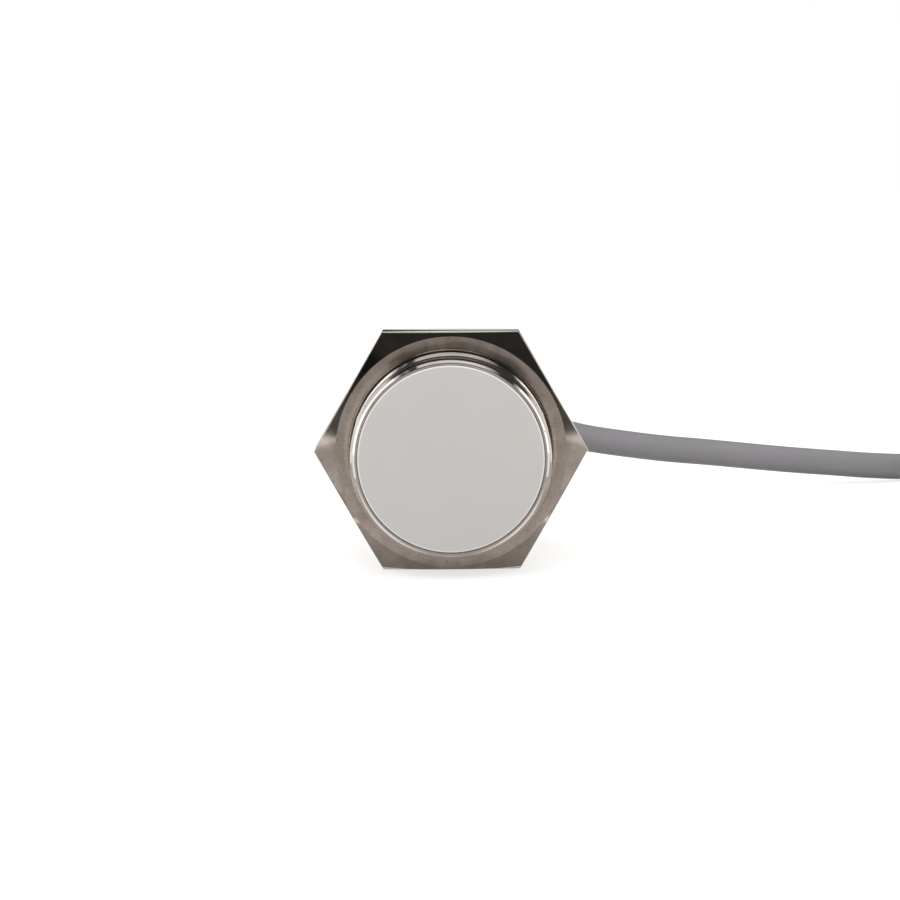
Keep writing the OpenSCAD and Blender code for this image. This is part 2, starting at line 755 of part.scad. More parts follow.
module strain_relief() {
    taper = (relief_base_d - relief_tip_d) / 2 / (relief_len - relief_foot);
    color([0.13, 0.13, 0.14]) difference() {
        turned([[relief_bore_r, wall_y - relief_flange_h], [relief_flange_r, wall_y - relief_flange_h],
            [relief_flange_r, wall_y], [relief_neck_r, wall_y], [relief_neck_r, rear_face],
            [relief_base_d / 2, rear_face], [relief_base_d / 2, rear_face + relief_foot],
            [relief_tip_d / 2, exit_y], [relief_bore_r, exit_y]]);
        for (i = [0 : relief_grooves - 1]) {
            y = rear_face + relief_foot + groove_w + i * groove_step;
            inner = relief_base_d / 2 - (y - rear_face - relief_foot) * taper - groove_depth;
            turned([[inner, y], [relief_base_d, y], [relief_base_d, y + groove_w], [inner, y + groove_w]]);
        }
    }
}

module cable_clamp() {
    color([0.72, 0.72, 0.73]) turned([[relief_bore_r, wall_y - relief_flange_h - clamp_len],
        [relief_bore_r + clamp_wall, wall_y - relief_flange_h - clamp_len],
        [relief_bore_r + clamp_wall, wall_y - relief_flange_h],
        [relief_bore_r, wall_y - relief_flange_h]]);
}

// A core of the cable from the jacket's inner end to its place on the board
module inner_core(lane, spot, tone) {
    from = cable_start + [spot.x, 0, spot.y];
    to = [lane * pad_pitch, pad_end, pad_z];
    way = to + [0, pad_run, 0] - from;
    color(tone) tube(concat([from, from + [0, -wire_r, 0]],
        [for (share = inner_core_shares) from + share * way],
        [to + [0, pad_run, 0], to + [0, wire_r, 0], to]), wire_r, 8);
}

// Points on an inner core's slanted stretch, as shares of its length
inner_core_shares = [0.3, 0.7];
// Place of each core in the jacket, as shares of the jacket's radius
core_spot_shares = [[-0.40, -0.23], [0, 0.46], [0.40, -0.23]];

module inner_core_brown() {
    inner_core(-1, cable_r * core_spot_shares[0], [0.36, 0.22, 0.13]);
}

module inner_core_black() {
    inner_core(0, cable_r * core_spot_shares[1], [0.08, 0.08, 0.08]);
}

module inner_core_blue() {
    inner_core(1, cable_r * core_spot_shares[2], [0.10, 0.25, 0.62]);
}

module hex_nut(y, turn) {
    color([0.76, 0.74, 0.71]) translate([0, y, 0]) rotate([0, turn, 0]) along_y() difference() {
        intersection() {
            cylinder(h = nut_h, r = nut_corner_r, $fn = 6);
            rotate_extrude() polygon([[0, 0], [nut_chamfer_r, 0], [nut_corner_r, nut_chamfer_h],
                [nut_corner_r, nut_h - nut_chamfer_h], [nut_chamfer_r, nut_h], [0, nut_h]]);
        }
        rotate_extrude() polygon([[0, -cut], [nut_bore_r + nut_sink + cut, -cut], [nut_bore_r, nut_sink],
            [nut_bore_r, nut_h - nut_sink], [nut_bore_r + nut_sink + cut, nut_h + cut], [0, nut_h + cut]]);
    }
}

module front_nut() {
    hex_nut(nut_y, 0);
}

module rear_nut() {
    hex_nut(rear_nut_y, rear_nut_turn);
}

// A lock washer with teeth inside
module tooth_washer(y) {
    gap_w = tooth_gap_share * 2 * PI * washer_bore_r / washer_teeth;
    color([0.66, 0.66, 0.67]) translate([0, y, 0]) along_y() difference() {
        cylinder(h = washer_t, r = washer_r);
        translate([0, 0, -cut]) cylinder(h = washer_t + 2 * cut, r = washer_bore_r);
        for (i = [0 : washer_teeth - 1]) rotate([0, 0, 360 * i / washer_teeth])
            translate([0, -gap_w / 2, -cut]) cube([washer_bore_r + tooth_len, gap_w, washer_t + 2 * cut]);
    }
}

module front_washer() {
    tooth_washer(washer_front_y);
}

module rear_washer() {
    tooth_washer(washer_rear_y);
}

module cable() {
    color([0.55, 0.54, 0.55]) tube(cable_line, cable_r, cable_sides);
}

module cable_coil() {
    color([0.55, 0.54, 0.55]) tube(coil_line, cable_r, coil_sides);
}

// Angles round the coil at which the straps lie
tie_angles = [60, 200];
tie_gap = 0.3;
tie_corner = 2;
coil_inner_r = coil_r - coil_step * coil_layer_turns;
tie_low = surface_z + tie_t;
tie_high = coil_centre.z + coil_lift * (coil_layers - 1) + cable_r + tie_gap;
tie_in = coil_inner_r - cable_r - tie_gap;
tie_out = coil_r + cable_r + tie_gap;

// A rectangle with round corners, given by two opposite corners
module round_rect(low, high, r) {
    translate([low.x + r, low.y]) square([high.x - low.x - 2 * r, high.y - low.y]);
    translate([low.x, low.y + r]) square([high.x - low.x, high.y - low.y - 2 * r]);
    for (x = [low.x + r, high.x - r], y = [low.y + r, high.y - r]) translate([x, y]) circle(r = r);
}

// Straps round the coil's turns, which hold it together
module coil_ties() {
    color([0.09, 0.09, 0.10]) for (a = tie_angles)
        translate([coil_centre.x, coil_centre.y, 0]) rotate([0, 0, a])
            translate([0, tie_w / 2, 0]) rotate([90, 0, 0]) linear_extrude(tie_w) difference() {
                round_rect([tie_in - tie_t, tie_low - tie_t], [tie_out + tie_t, tie_high + tie_t],
                    tie_corner + tie_t);
                round_rect([tie_in, tie_low], [tie_out, tie_high], tie_corner);
            }
}

module core_brown() {
    color([0.36, 0.22, 0.13]) tube(core_path(1), wire_r, 8);
}

module core_black() {
    color([0.08, 0.08, 0.08]) tube(core_path(0), wire_r, 8);
}

module core_blue() {
    color([0.10, 0.25, 0.62]) tube(core_path(-1), wire_r, 8);
}

// Bare tinned copper at the end of each core
module core_ends() {
    color([0.78, 0.76, 0.72]) for (lane = [-1, 0, 1]) {
        path = core_path(lane);
        last = path[core_steps + 1];
        way = last - path[core_steps];
        translate(last) rotate([0, 0, atan2(way.y, way.x)]) rotate([0, 90, 0])
            cylinder(h = bare_len, r = bare_d / 2);
    }
}

echo(cable_mm = line_length(cable_line), coil_mm = line_length(coil_line), core_mm = stripped_len + bare_len);
echo(coil_least_gap_mm = coil_gap, coil_centre = coil_centre, coil_end = coil_end_point);

barrel();
sensing_cap();
front_seal();
ferrite_core();
coil_former();
coil_winding();
core_holder();
coil_leads();
circuit_board();
oscillator_chip();
pulse_counter_chip();
output_transistor();
voltage_regulator();
timing_crystal();
protection_diodes();
filter_capacitors();
chip_capacitors();
chip_resistors();
solder_joints();
power_led();
output_led();
trimmer_body();
trimmer_screw();
resin_fill();
rear_cap();
rear_seal();
power_light_guide();
output_light_guide();
trimmer_plug();
strain_relief();
cable_clamp();
inner_core_brown();
inner_core_blue();
inner_core_black();
front_nut();
rear_nut();
front_washer();
rear_washer();
cable();
cable_coil();
coil_ties();
core_brown();
core_blue();
core_black();
core_ends();
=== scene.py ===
"""Cylindrical speed sensor in a threaded, nickel-plated brass barrel, its cable put away as a coil.

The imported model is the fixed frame. The visible metal, the sensing face, the cable, its cores, the
straps and the winding are modelled here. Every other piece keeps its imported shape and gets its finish.
Lengths are in millimetres in the classes, and in metres once they reach Blender.
"""

import logging
import math
from dataclasses import dataclass, field
from enum import Enum

import bpy
from mathutils import Matrix, Vector


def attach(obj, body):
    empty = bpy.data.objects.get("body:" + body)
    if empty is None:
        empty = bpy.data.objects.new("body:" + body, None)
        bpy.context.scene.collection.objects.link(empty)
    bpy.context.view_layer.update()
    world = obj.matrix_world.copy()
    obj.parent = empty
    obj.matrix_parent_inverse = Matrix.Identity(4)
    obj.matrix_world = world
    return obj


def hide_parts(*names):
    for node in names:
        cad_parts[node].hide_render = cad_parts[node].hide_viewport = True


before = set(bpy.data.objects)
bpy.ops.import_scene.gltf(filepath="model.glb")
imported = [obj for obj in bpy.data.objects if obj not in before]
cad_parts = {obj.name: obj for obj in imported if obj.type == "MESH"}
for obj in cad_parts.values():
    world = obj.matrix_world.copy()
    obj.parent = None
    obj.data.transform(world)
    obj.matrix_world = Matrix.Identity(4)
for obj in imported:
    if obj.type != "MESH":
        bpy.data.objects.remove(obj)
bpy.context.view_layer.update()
LOG = logging.getLogger("speed_sensor")
MM = 0.001
# Scale of a pattern that repeats about once in a millimetre, and of waves a millimetre long
PATTERN_SCALE = 1000
WAVE_SCALE = 314.16
# Values between which nearly all of a noise pattern lies, and those between which stains change tone
NOISE_SPAN = (0.3, 0.7)
STAIN_SPAN = (0.35, 0.68)
# Agreement of the rounded and the true normal where an edge's wear starts and where it is full
EDGE_SPAN = (0.995, 0.85)
# Radius that stands for a point on the axis of a turned profile
AXIS_R = 0.001
# Steps round a turned piece, and pieces that each stretch of a smooth line is cut in
TURNED_STEPS = 192
LINE_PARTS = 5

Node = bpy.types.Node
Socket = bpy.types.NodeSocket
Tree = bpy.types.NodeTree
Object = bpy.types.Object
Profile = list[tuple[float, float]]
Inputs = dict | tuple
# Where a value starts and stops to change, and the levels that it changes from and to
Ramp = tuple[float, float, float, float]


class Axis(Enum):
    """Main directions of the sensor as it lies on the table."""

    ALONG = Vector((0.0, 1.0, 0.0))
    UP = Vector((0.0, 0.0, 1.0))


def linear(colour: str) -> tuple[float, float, float, float]:
    """Turn a colour as it is seen into the one that the shaders take.

    Args:
        colour: sRGB hex value, such as "#C8C5C1".

    Returns:
        Linear red, green and blue, and an alpha of one.
    """
    parts = [int(colour[i : i + 2], 16) / 255 for i in (1, 3, 5)]
    tones = [p / 12.92 if p <= 0.04045 else ((p + 0.055) / 1.055) ** 2.4 for p in parts]
    return (tones[0], tones[1], tones[2], 1.0)


def from_mm(ramp: Ramp) -> Ramp:
    """Turn the two places of a ramp from millimetres into metres."""
    return (ramp[0] * MM, ramp[1] * MM, ramp[2], ramp[3])


def empty_tree(owner: bpy.types.Material | bpy.types.World) -> Tree:
    """Take out the nodes that a material or a world starts with.

    Args:
        owner: The material or world.

    Returns:
        Its node tree.
    """
    owner.use_nodes = True
    owner.node_tree.nodes.clear()
    return owner.node_tree


def add_node(tree: Tree, kind: str, inputs: Inputs = (), **settings: object) -> Node:
    """Add a node with its settings and links.

    Args:
        tree: Node tree that gets the node.
        kind: Type name of the node.
        inputs: What its inputs take, by name or number, or in their order from the first one: a
            value, an output socket, or a node, of which the first output is taken.
        **settings: Properties of the node.

    Returns:
        The new node.
    """
    node = tree.nodes.new(kind)
    for name, value in settings.items():
        setattr(node, name, value)
    for name, value in inputs.items() if isinstance(inputs, dict) else enumerate(inputs):
        source = value.outputs[0] if isinstance(value, Node) else value
        if isinstance(source, Socket):
            tree.links.new(source, node.inputs[name])
        else:
            node.inputs[name].default_value = source
    return node


@dataclass(frozen=True)
class Finish:
    """What a surface is made of and how it was made; the base of every finish."""

    label: str

    def material(self) -> bpy.types.Material:
        """Find the finish's material, or make it on first use.

        Returns:
            The material.
        """
        found = bpy.data.materials.get(self.label)
        if found:
            return found
        made = bpy.data.materials.new(self.label)
        tree = empty_tree(made)
        place = add_node(tree, "ShaderNodeTexCoord").outputs["Object"]
        add_node(tree, "ShaderNodeOutputMaterial", {"Surface": self.shade(tree, place)})
        return made

    def shade(self, tree: Tree, place: Socket) -> Node:
        """Add the finish's nodes to a tree, for places on the piece, and return the shader."""
        raise NotImplementedError

    def dress(self, *pieces: Object) -> None:
        """Give pieces this finish in all their material slots.

        Args:
            *pieces: The pieces.
        """
        for piece in pieces:
            if not piece.material_slots:
                piece.data.materials.append(self.material())
            for own in piece.material_slots:
                own.material = self.material()


def edges_for_wear_and_highlight(tree: Tree, radius_mm: float) -> tuple[Socket, Socket]:
    """Find the edges of a piece, which take a wear colour, and on plastic also a painted highlight, and
    the normal of an edge that is a little rounded.

    Args:
        tree: Node tree of the material.
        radius_mm: Radius of the rounding.

    Returns:
        Output sockets with the share of edge at a point, from 0 to 1, and with the rounded normal.
    """
    rounded = add_node(tree, "ShaderNodeBevel", (radius_mm * MM,), samples=4)
    sharp = add_node(tree, "ShaderNodeNewGeometry").outputs["Normal"]
    same = add_node(tree, "ShaderNodeVectorMath", (rounded, sharp), operation="DOT_PRODUCT")
    share = add_node(tree, "ShaderNodeMapRange", (same.outputs["Value"], *EDGE_SPAN))
    return share.outputs["Result"], rounded.outputs["Normal"]


@dataclass(frozen=True)
class PlatedMetal(Finish):
    """Metal with a thin bright plating: stains, fine pores, turning marks and worn edges.

    Real turning marks lie under 0.1 mm apart and real pores are about 0.05 mm wide. Both are too fine
    to show, so they are drawn as coarse as they need to be seen.
    """

    dark: str = "#A59C92"
    light: str = "#CBC3B8"
    worn: str = "#D9B98A"
    wear: float = 0.35
    stain_mm: float = 5.0
    speck_mm: float = 0.35
    mark_mm: float = 0.4
    mark_waver: float = 0.6
    mark_height_mm: float = 0.0006
    rough: tuple[float, float] = (0.16, 0.30)
    edge_mm: float = 0.12
    pore: str = "#5C524B"
    # Noise level at which a pore starts, the step to its middle, and how dark it gets there
    pores: float = 0.66
    pore_edge: float = 0.08
    pore_depth: float = 0.42
    # Slope of turned chamfers in degrees, its margin, and the share of roughness that they keep
    slope: float = 17.0
    slope_margin: float = 0.02
    slope_share: float = 1.0

    def shade(self, tree: Tree, place: Socket) -> Node:
        """Add the plating's nodes.

        Args:
            tree: Node tree of the material.
            place: Output socket with the point's place on the piece.

        Returns:
            The shader node.
        """
        stain, speck = (
            add_node(
                tree, "ShaderNodeTexNoise",
                {"Vector": place, "Scale": PATTERN_SCALE / size, "Detail": detail},
            )
            for size, detail in ((self.stain_mm, 5.0), (self.speck_mm, 2.0))
        )
        marks = add_node(
            tree, "ShaderNodeTexWave",
            {"Vector": place, "Scale": WAVE_SCALE / self.mark_mm, "Distortion": self.mark_waver,
             "Detail": 1.0},
            wave_type="RINGS", rings_direction="Y",
        ).outputs["Fac"]
        tone = add_node(tree, "ShaderNodeMapRange", (stain, *STAIN_SPAN))
        spot = add_node(
            tree, "ShaderNodeMapRange",
            (speck, self.pores, self.pores + self.pore_edge, 0.0, self.pore_depth),
        )
        edge, rounded = edges_for_wear_and_highlight(tree, self.edge_mm)
        broken = add_node(tree, "ShaderNodeMath", (edge, stain), operation="MULTIPLY")
        worn = add_node(
            tree, "ShaderNodeMath", (broken, 2 * self.wear), operation="MULTIPLY", use_clamp=True
        )
        colour = linear(self.dark)
        for share, over in ((tone, self.light), (spot, self.pore), (worn, self.worn)):
            colour = add_node(
                tree, "ShaderNodeMix", {0: share, 6: colour, 7: linear(over)}, data_type="RGBA"
            ).outputs[2]
        dull = add_node(tree, "ShaderNodeMapRange", (stain, *NOISE_SPAN, *self.rough))
        rough = add_node(
            tree, "ShaderNodeMath", (dull, self.slope_finish(tree)), operation="MULTIPLY"
        )
        height = add_node(tree, "ShaderNodeMath", (marks, 0.5, speck), operation="MULTIPLY_ADD")
        bump = add_node(
            tree, "ShaderNodeBump",
            {"Height": height, "Distance": self.mark_height_mm * MM, "Normal": rounded},
        )
        return add_node(
            tree, "ShaderNodeBsdfPrincipled",
            {"Base Color": colour, "Metallic": 1.0, "Roughness": rough, "Normal": bump},
        )

    def slope_finish(self, tree: Tree) -> Node:
        """Find the slopes that were turned smoother than the rest.

        Args:
            tree: Node tree of the material.

        Returns:
            Node with the share of the roughness that a point keeps.
        """
        normal = add_node(tree, "ShaderNodeTexCoord").outputs["Normal"]
        along = add_node(tree, "ShaderNodeSeparateXYZ", (normal,)).outputs["Y"]
        either = add_node(tree, "ShaderNodeMath", (along,), operation="ABSOLUTE")
        sloping = add_node(
            tree, "ShaderNodeMath", (either, math.cos(math.radians(self.slope)), self.slope_margin),
            operation="COMPARE",
        )
        return add_node(tree, "ShaderNodeMapRange", (sloping, 0.0, 1.0, 1.0, self.slope_share))


@dataclass(frozen=True)
class Moulding(Finish):
    """Injection-moulded plastic: fine grain, faint flow clouds, and lighter edges, partly rubbed and
    partly a painted highlight.

    The real grain is about 0.05 mm wide, which is too fine to show, so it is drawn coarser.
    """

    colour: str = "#26262A"
    cloud: str = "#2C2C30"
    # Colour of the edges: partly rubbed plastic, partly a painted highlight
    edge: str = "#3A3A3E"
    cloud_mm: float = 7.0
    grain_mm: float = 0.3
    grain_height_mm: float = 0.004
    rough: tuple[float, float] = (0.42, 0.55)
    edge_mm: float = 0.2
    ior: float = 1.5
    # Radius of a round face whose rim gets a painted highlight, and how far inside it the highlight
    # starts and is full
    rim_mm: float = 0.0
    rim_from: float = 0.3
    rim_to: float = 0.1

    def shade(self, tree: Tree, place: Socket) -> Node:
        """Add the moulding's nodes.

        Args:
            tree: Node tree of the material.
            place: Output socket with the point's place on the piece.

        Returns:
            The shader node.
        """
        cloud, grain = (
            add_node(
                tree, "ShaderNodeTexNoise",
                {"Vector": place, "Scale": PATTERN_SCALE / size, "Detail": detail},
            )
            for size, detail in ((self.cloud_mm, 4.0), (self.grain_mm, 3.0))
        )
        edge, rounded = edges_for_wear_and_highlight(tree, self.edge_mm)
        # Lighter edges: partly rubbing, partly a painted highlight
        rubbed_and_highlit = add_node(tree, "ShaderNodeMath", (edge, grain), operation="MULTIPLY")
        # Painted highlight along the rim of a round face
        if self.rim_mm:
            rim_highlight = self.highlit_rim(tree, place)
            rubbed_and_highlit = add_node(tree, "ShaderNodeMath", (rubbed_and_highlit, rim_highlight), operation="MAXIMUM")
        colour = linear(self.colour)
        for share, over in ((cloud, self.cloud), (rubbed_and_highlit, self.edge)):
            colour = add_node(
                tree, "ShaderNodeMix", {0: share, 6: colour, 7: linear(over)}, data_type="RGBA"
            ).outputs[2]
        rough = add_node(tree, "ShaderNodeMapRange", (grain, *NOISE_SPAN, *self.rough))
        bump = add_node(
            tree, "ShaderNodeBump",
            {"Height": grain, "Distance": self.grain_height_mm * MM, "Normal": rounded},
        )
        return add_node(
            tree, "ShaderNodeBsdfPrincipled",
            {"Base Color": colour, "Roughness": rough, "IOR": self.ior, "Normal": bump},
        )

    def highlit_rim(self, tree: Tree, place: Socket) -> Node:
        """Find the rim of a round face, where a highlight is painted.

        Args:
            tree: Node tree of the material.
            place: Output socket with the point's place on the piece.

        Returns:
            Node with the share of rim at a point, from 0 to 1.
        """
        flat = add_node(tree, "ShaderNodeVectorMath", (place, (1, 0, 1)), operation="MULTIPLY")
        out = add_node(tree, "ShaderNodeVectorMath", (flat,), operation="LENGTH").outputs["Value"]
        span = ((self.rim_mm - self.rim_from) * MM, (self.rim_mm - self.rim_to) * MM)
        return add_node(tree, "ShaderNodeMapRange", (out, *span), interpolation_type="SMOOTHSTEP")


@dataclass(frozen=True)
class ClearMoulding(Finish):
    """Clear plastic that carries light: glassy, tinted, with a few flow lines."""

    tint: str = "#F2F6F4"
    clear: str = "#FFFFFF"
    flow_mm: float = 1.2
    flow_height_mm: float = 0.004
    rough: float = 0.06
    rough_span: float = 0.08
    transmission: float = 0.85
    ior: float = 1.58

    def shade(self, tree: Tree, place: Socket) -> Node:
        """Add the clear plastic's nodes.

        Args:
            tree: Node tree of the material.
            place: Output socket with the point's place on the piece.

        Returns:
            The shader node.
        """
        flow = add_node(
            tree, "ShaderNodeTexNoise",
            {"Vector": place, "Scale": PATTERN_SCALE / self.flow_mm, "Detail": 2.0},
        )
        colour = add_node(
            tree, "ShaderNodeMix", {0: flow, 6: linear(self.tint), 7: linear(self.clear)},
            data_type="RGBA",
        )
        rough = add_node(
            tree, "ShaderNodeMapRange", (flow, 0.0, 1.0, self.rough, self.rough + self.rough_span)
        )
        bump = add_node(
            tree, "ShaderNodeBump", {"Height": flow, "Distance": self.flow_height_mm * MM}
        )
        return add_node(
            tree, "ShaderNodeBsdfPrincipled",
            {"Base Color": colour.outputs[2], "Roughness": rough, "IOR": self.ior,
             "Transmission Weight": self.transmission, "Normal": bump},
        )


@dataclass(frozen=True)
class BoardLaminate(Finish):
    """Glass-fibre laminate under green lacquer: copper tracks show through as lighter lines."""

    lacquer: str = "#1E5B38"
    track: str = "#2F7A4B"
    pitch_mm: float = 1.27
    # Width of a track and the length between its crossings, in pitches
    track_share: float = 0.12
    track_run: float = 5.0
    track_height_mm: float = 0.03
    weave_mm: float = 0.5
    rough: tuple[float, float] = (0.25, 0.45)

    def shade(self, tree: Tree, place: Socket) -> Node:
        """Add the laminate's nodes.

        Args:
            tree: Node tree of the material.
            place: Output socket with the point's place on the piece.

        Returns:
            The shader node.
        """
        green = linear(self.lacquer)
        tracks = add_node(
            tree, "ShaderNodeTexBrick",
            {"Vector": place, "Scale": PATTERN_SCALE / self.pitch_mm, "Color1": green,
             "Color2": green, "Mortar": linear(self.track), "Mortar Size": self.track_share,
             "Brick Width": self.track_run, "Row Height": 1.0},
        )
        weave = add_node(
            tree, "ShaderNodeTexNoise",
            {"Vector": place, "Scale": PATTERN_SCALE / self.weave_mm, "Detail": 3.0},
        )
        bump = add_node(
            tree, "ShaderNodeBump",
            {"Height": tracks.outputs["Fac"], "Distance": self.track_height_mm * MM},
        )
        rough = add_node(tree, "ShaderNodeMapRange", (weave, 0.0, 1.0, *self.rough))
        return add_node(
            tree, "ShaderNodeBsdfPrincipled",
            {"Base Color": tracks, "Roughness": rough, "Normal": bump},
        )


# Nickel on free-cutting brass, bright from the lathe: warm silver, fine ring marks, brass at the edges
TURNED_NICKEL = PlatedMetal(
    "nickel_plated_turned_brass",
    dark="#C4BEB8",
    light="#D8D3CD",
    rough=(0.06, 0.12),
    mark_mm=0.3,
    mark_height_mm=0.0004,
    edge_mm=0.03,
)
# Nickel on a pressed and faced brass nut: satin and stained, with dark pores and brass at the edges.
# The chamfers are turned, and smoother than the pressed faces.
NUT_NICKEL = PlatedMetal(
    "nickel_plated_brass_nut",
    dark="#B7ADA3",
    light="#CDC4BA",
    stain_mm=2.6,
    speck_mm=0.28,
    rough=(0.18, 0.24),
    mark_mm=0.35,
    edge_mm=0.07,
    wear=0.8,
    pores=0.63,
    slope_share=0.5,
)
# Zinc-plated spring steel, stamped: cool grey with a matte grain
STAMPED_STEEL = PlatedMetal(
    "zinc_plated_stamped_steel", dark="#8F9294", light="#B4B7B8", worn="#D5D7D8", rough=(0.3, 0.45)
)
# Drawn steel ring, crimped: bright with fine lines round it
CRIMPED_STEEL = PlatedMetal(
    "crimped_bright_steel", dark="#9DA0A2", light="#C3C6C8", worn="#DFE1E2", rough=(0.2, 0.32)
)
# Turned brass screw, not plated: yellow and slightly tarnished
SCREW_BRASS = PlatedMetal(
    "turned_screw_brass", dark="#A8803F", light="#D0AA62", worn="#E6CB8E", rough=(0.2, 0.35)
)
# Soft solder that froze in drops: bright with a dull skin
SOLDER = PlatedMetal("soft_solder", dark="#A3A5A6", light="#CACBCC", worn="#DADADA", rough=(0.25, 0.5))
# Tinned strands of copper: pale, a little yellow, smooth
TINNED_COPPER = PlatedMetal(
    "tinned_copper_strands", dark="#B3AFA6", light="#D4D0C6", worn="#D08B5B", rough=(0.2, 0.3),
    edge_mm=0.03,
)
# Drawn crystal can: polished tin, nearly a mirror
DRAWN_CAN = PlatedMetal(
    "drawn_tin_can", dark="#B9BBBC", light="#D5D6D7", worn="#E5E5E5", rough=(0.12, 0.2)
)
# Copper wire under clear enamel: reddish orange with a lacquer gloss
ENAMELLED_COPPER = PlatedMetal(
    "enamelled_copper_wire", dark="#8E4320", light="#C06A35", worn="#D98952", rough=(0.2, 0.3),
    edge_mm=0.03,
)

# Polyester moulding of the sensing face: warm pale grey, satin, with a painted highlight on its rounded
# edge
FACE_POLYESTER = Moulding(
    "satin_polyester_face",
    colour="#C1BEBB",
    cloud="#C5C2BF",
    edge="#E4E1DF",
    grain_mm=0.5,
    grain_height_mm=0.003,
    rough=(0.4, 0.5),
    edge_mm=0.1,
    ior=1.55,
    rim_mm=13.85,
)
# Glass-filled polyamide of the rear cap, holder and plug: near black, dull, with a dry grain
FILLED_POLYAMIDE = Moulding(
    "glass_filled_polyamide", colour="#202023", cloud="#2A2A2D", edge="#454549"
)
# Soft elastomer of the strain relief: black, matte, smooth to the touch
SOFT_ELASTOMER = Moulding(
    "soft_moulded_elastomer", colour="#1E1E20", cloud="#252527", edge="#38383A", rough=(0.55, 0.7)
)
# Extruded soft vinyl jacket: mid grey and matte, with a faint drawn grain
VINYL_JACKET = Moulding(
    "extruded_grey_vinyl",
    colour="#7D7B7E",
    cloud="#858386",
    edge="#8B898B",
    cloud_mm=12.0,
    grain_mm=0.45,
    grain_height_mm=0.01,
    rough=(0.5, 0.62),
    ior=1.53,
)
# Extruded vinyl over each core: plain colours with a soft gloss
BROWN_VINYL = Moulding("extruded_brown_vinyl", colour="#5B3A22", cloud="#634027", edge="#704A30")
BLUE_VINYL = Moulding("extruded_blue_vinyl", colour="#1F4C9E", cloud="#2454A8", edge="#3564B4")
BLACK_VINYL = Moulding("extruded_black_vinyl", colour="#1A1A1C", cloud="#202022", edge="#303032")
# Moulded nitrile ring: black, matte, with a powdery bloom
NITRILE = Moulding(
    "moulded_nitrile", colour="#1B1B1B", cloud="#262626", edge="#303030", rough=(0.6, 0.75)
)
# Sintered ferrite: charcoal, dry, with fine pits
FERRITE = Moulding(
    "sintered_ferrite", colour="#37373B", cloud="#414146", edge="#55555A", grain_height_mm=0.02,
    rough=(0.55, 0.8),
)
# Polyacetal bobbin: ivory and waxy
BOBBIN = Moulding(
    "ivory_polyacetal", colour="#E1DCCB", cloud="#E7E3D4", edge="#EFECDF", rough=(0.3, 0.4)
)
# Moulded epoxy of the chips: charcoal, frosted
CHIP_EPOXY = Moulding(
    "frosted_chip_epoxy", colour="#232325", cloud="#29292B", edge="#3C3C3F", grain_mm=0.12
)
# Tantalum capacitors: ochre epoxy
CAPACITOR_EPOXY = Moulding(
    "ochre_capacitor_epoxy", colour="#B98A2E", cloud="#C29338", edge="#CFA552"
)
# Fired ceramic capacitors: tan, dry
FIRED_CERAMIC = Moulding(
    "fired_tan_ceramic", colour="#A98E6A", cloud="#B39874", edge="#C0A988", grain_mm=0.1
)
# Glazed resistors: black glass over white ceramic
RESISTOR_GLAZE = Moulding(
    "black_resistor_glaze", colour="#19191B", cloud="#202023", edge="#C9C7C2", rough=(0.2, 0.3)
)
# Trimmer housing: blue thermoset, satin
TRIMMER_BLUE = Moulding("blue_trimmer_thermoset", colour="#2E5FA8", cloud="#3567B1", edge="#5C86C4")
# Cast epoxy that fills the barrel: dark amber-black, glossy where it set against air
CAST_RESIN = Moulding(
    "cast_dark_resin", colour="#2A211B", cloud="#33281F", edge="#43362A", grain_height_mm=0.008,
    rough=(0.12, 0.25),
)
# Polyamide strap of the coil: black, satin, with a fine grain
STRAP_POLYAMIDE = Moulding("black_strap_polyamide", colour="#1C1C1E", cloud="#232325", edge="#3B3B3E")
# Clear polycarbonate rods: glassy
CLEAR_ROD = ClearMoulding("clear_polycarbonate")
# Tinted lenses of the two indicators
GREEN_LENS = ClearMoulding("green_lens_epoxy", tint="#6FBF5A", rough=0.15)
AMBER_LENS = ClearMoulding("amber_lens_epoxy", tint="#E0A032", rough=0.15)
# Laminate of the circuit board
LAMINATE = BoardLaminate("green_lacquered_laminate")


def deselect() -> None:
    """Leave edit mode and deselect all."""
    if bpy.context.object and bpy.context.object.mode != "OBJECT":
        bpy.ops.object.mode_set(mode="OBJECT")
    bpy.ops.object.select_all(action="DESELECT")


def pick(piece: Object) -> None:
    """Select one piece alone and make it the active one.

    Args:
        piece: The piece.
    """
    deselect()
    piece.select_set(True)
    bpy.context.view_layer.objects.active = piece


def edit_all(piece: Object) -> None:
    """Open one piece in edit mode with all of it selected.

    Args:
        piece: The piece.
    """
    pick(piece)
    bpy.ops.object.mode_set(mode="EDIT")
    bpy.ops.mesh.select_all(action="SELECT")


def freeze(piece: Object) -> None:
    """Put a piece's place and turn into its mesh, so that its object sits at the origin."""
    pick(piece)
    bpy.ops.object.transform_apply(location=True, rotation=True, scale=True)


def join(pieces: list[Object]) -> Object:
    """Make several pieces one.

    Args:
        pieces: The pieces, of which the first takes in the others.

    Returns:
        The first piece.
    """
    pick(pieces[0])
    for piece in pieces[1:]:
        piece.select_set(True)
    bpy.ops.object.join()
    return pieces[0]


def finish_mesh(piece: Object, merge_mm: float = 0.0005) -> None:
    """Merge doubled points of a piece and turn its faces outwards.

    Args:
        piece: The piece.
        merge_mm: Points nearer than this become one.
    """
    edit_all(piece)
    bpy.ops.mesh.remove_doubles(threshold=merge_mm * MM)
    bpy.ops.mesh.normals_make_consistent(inside=False)
    bpy.ops.object.mode_set(mode="OBJECT")


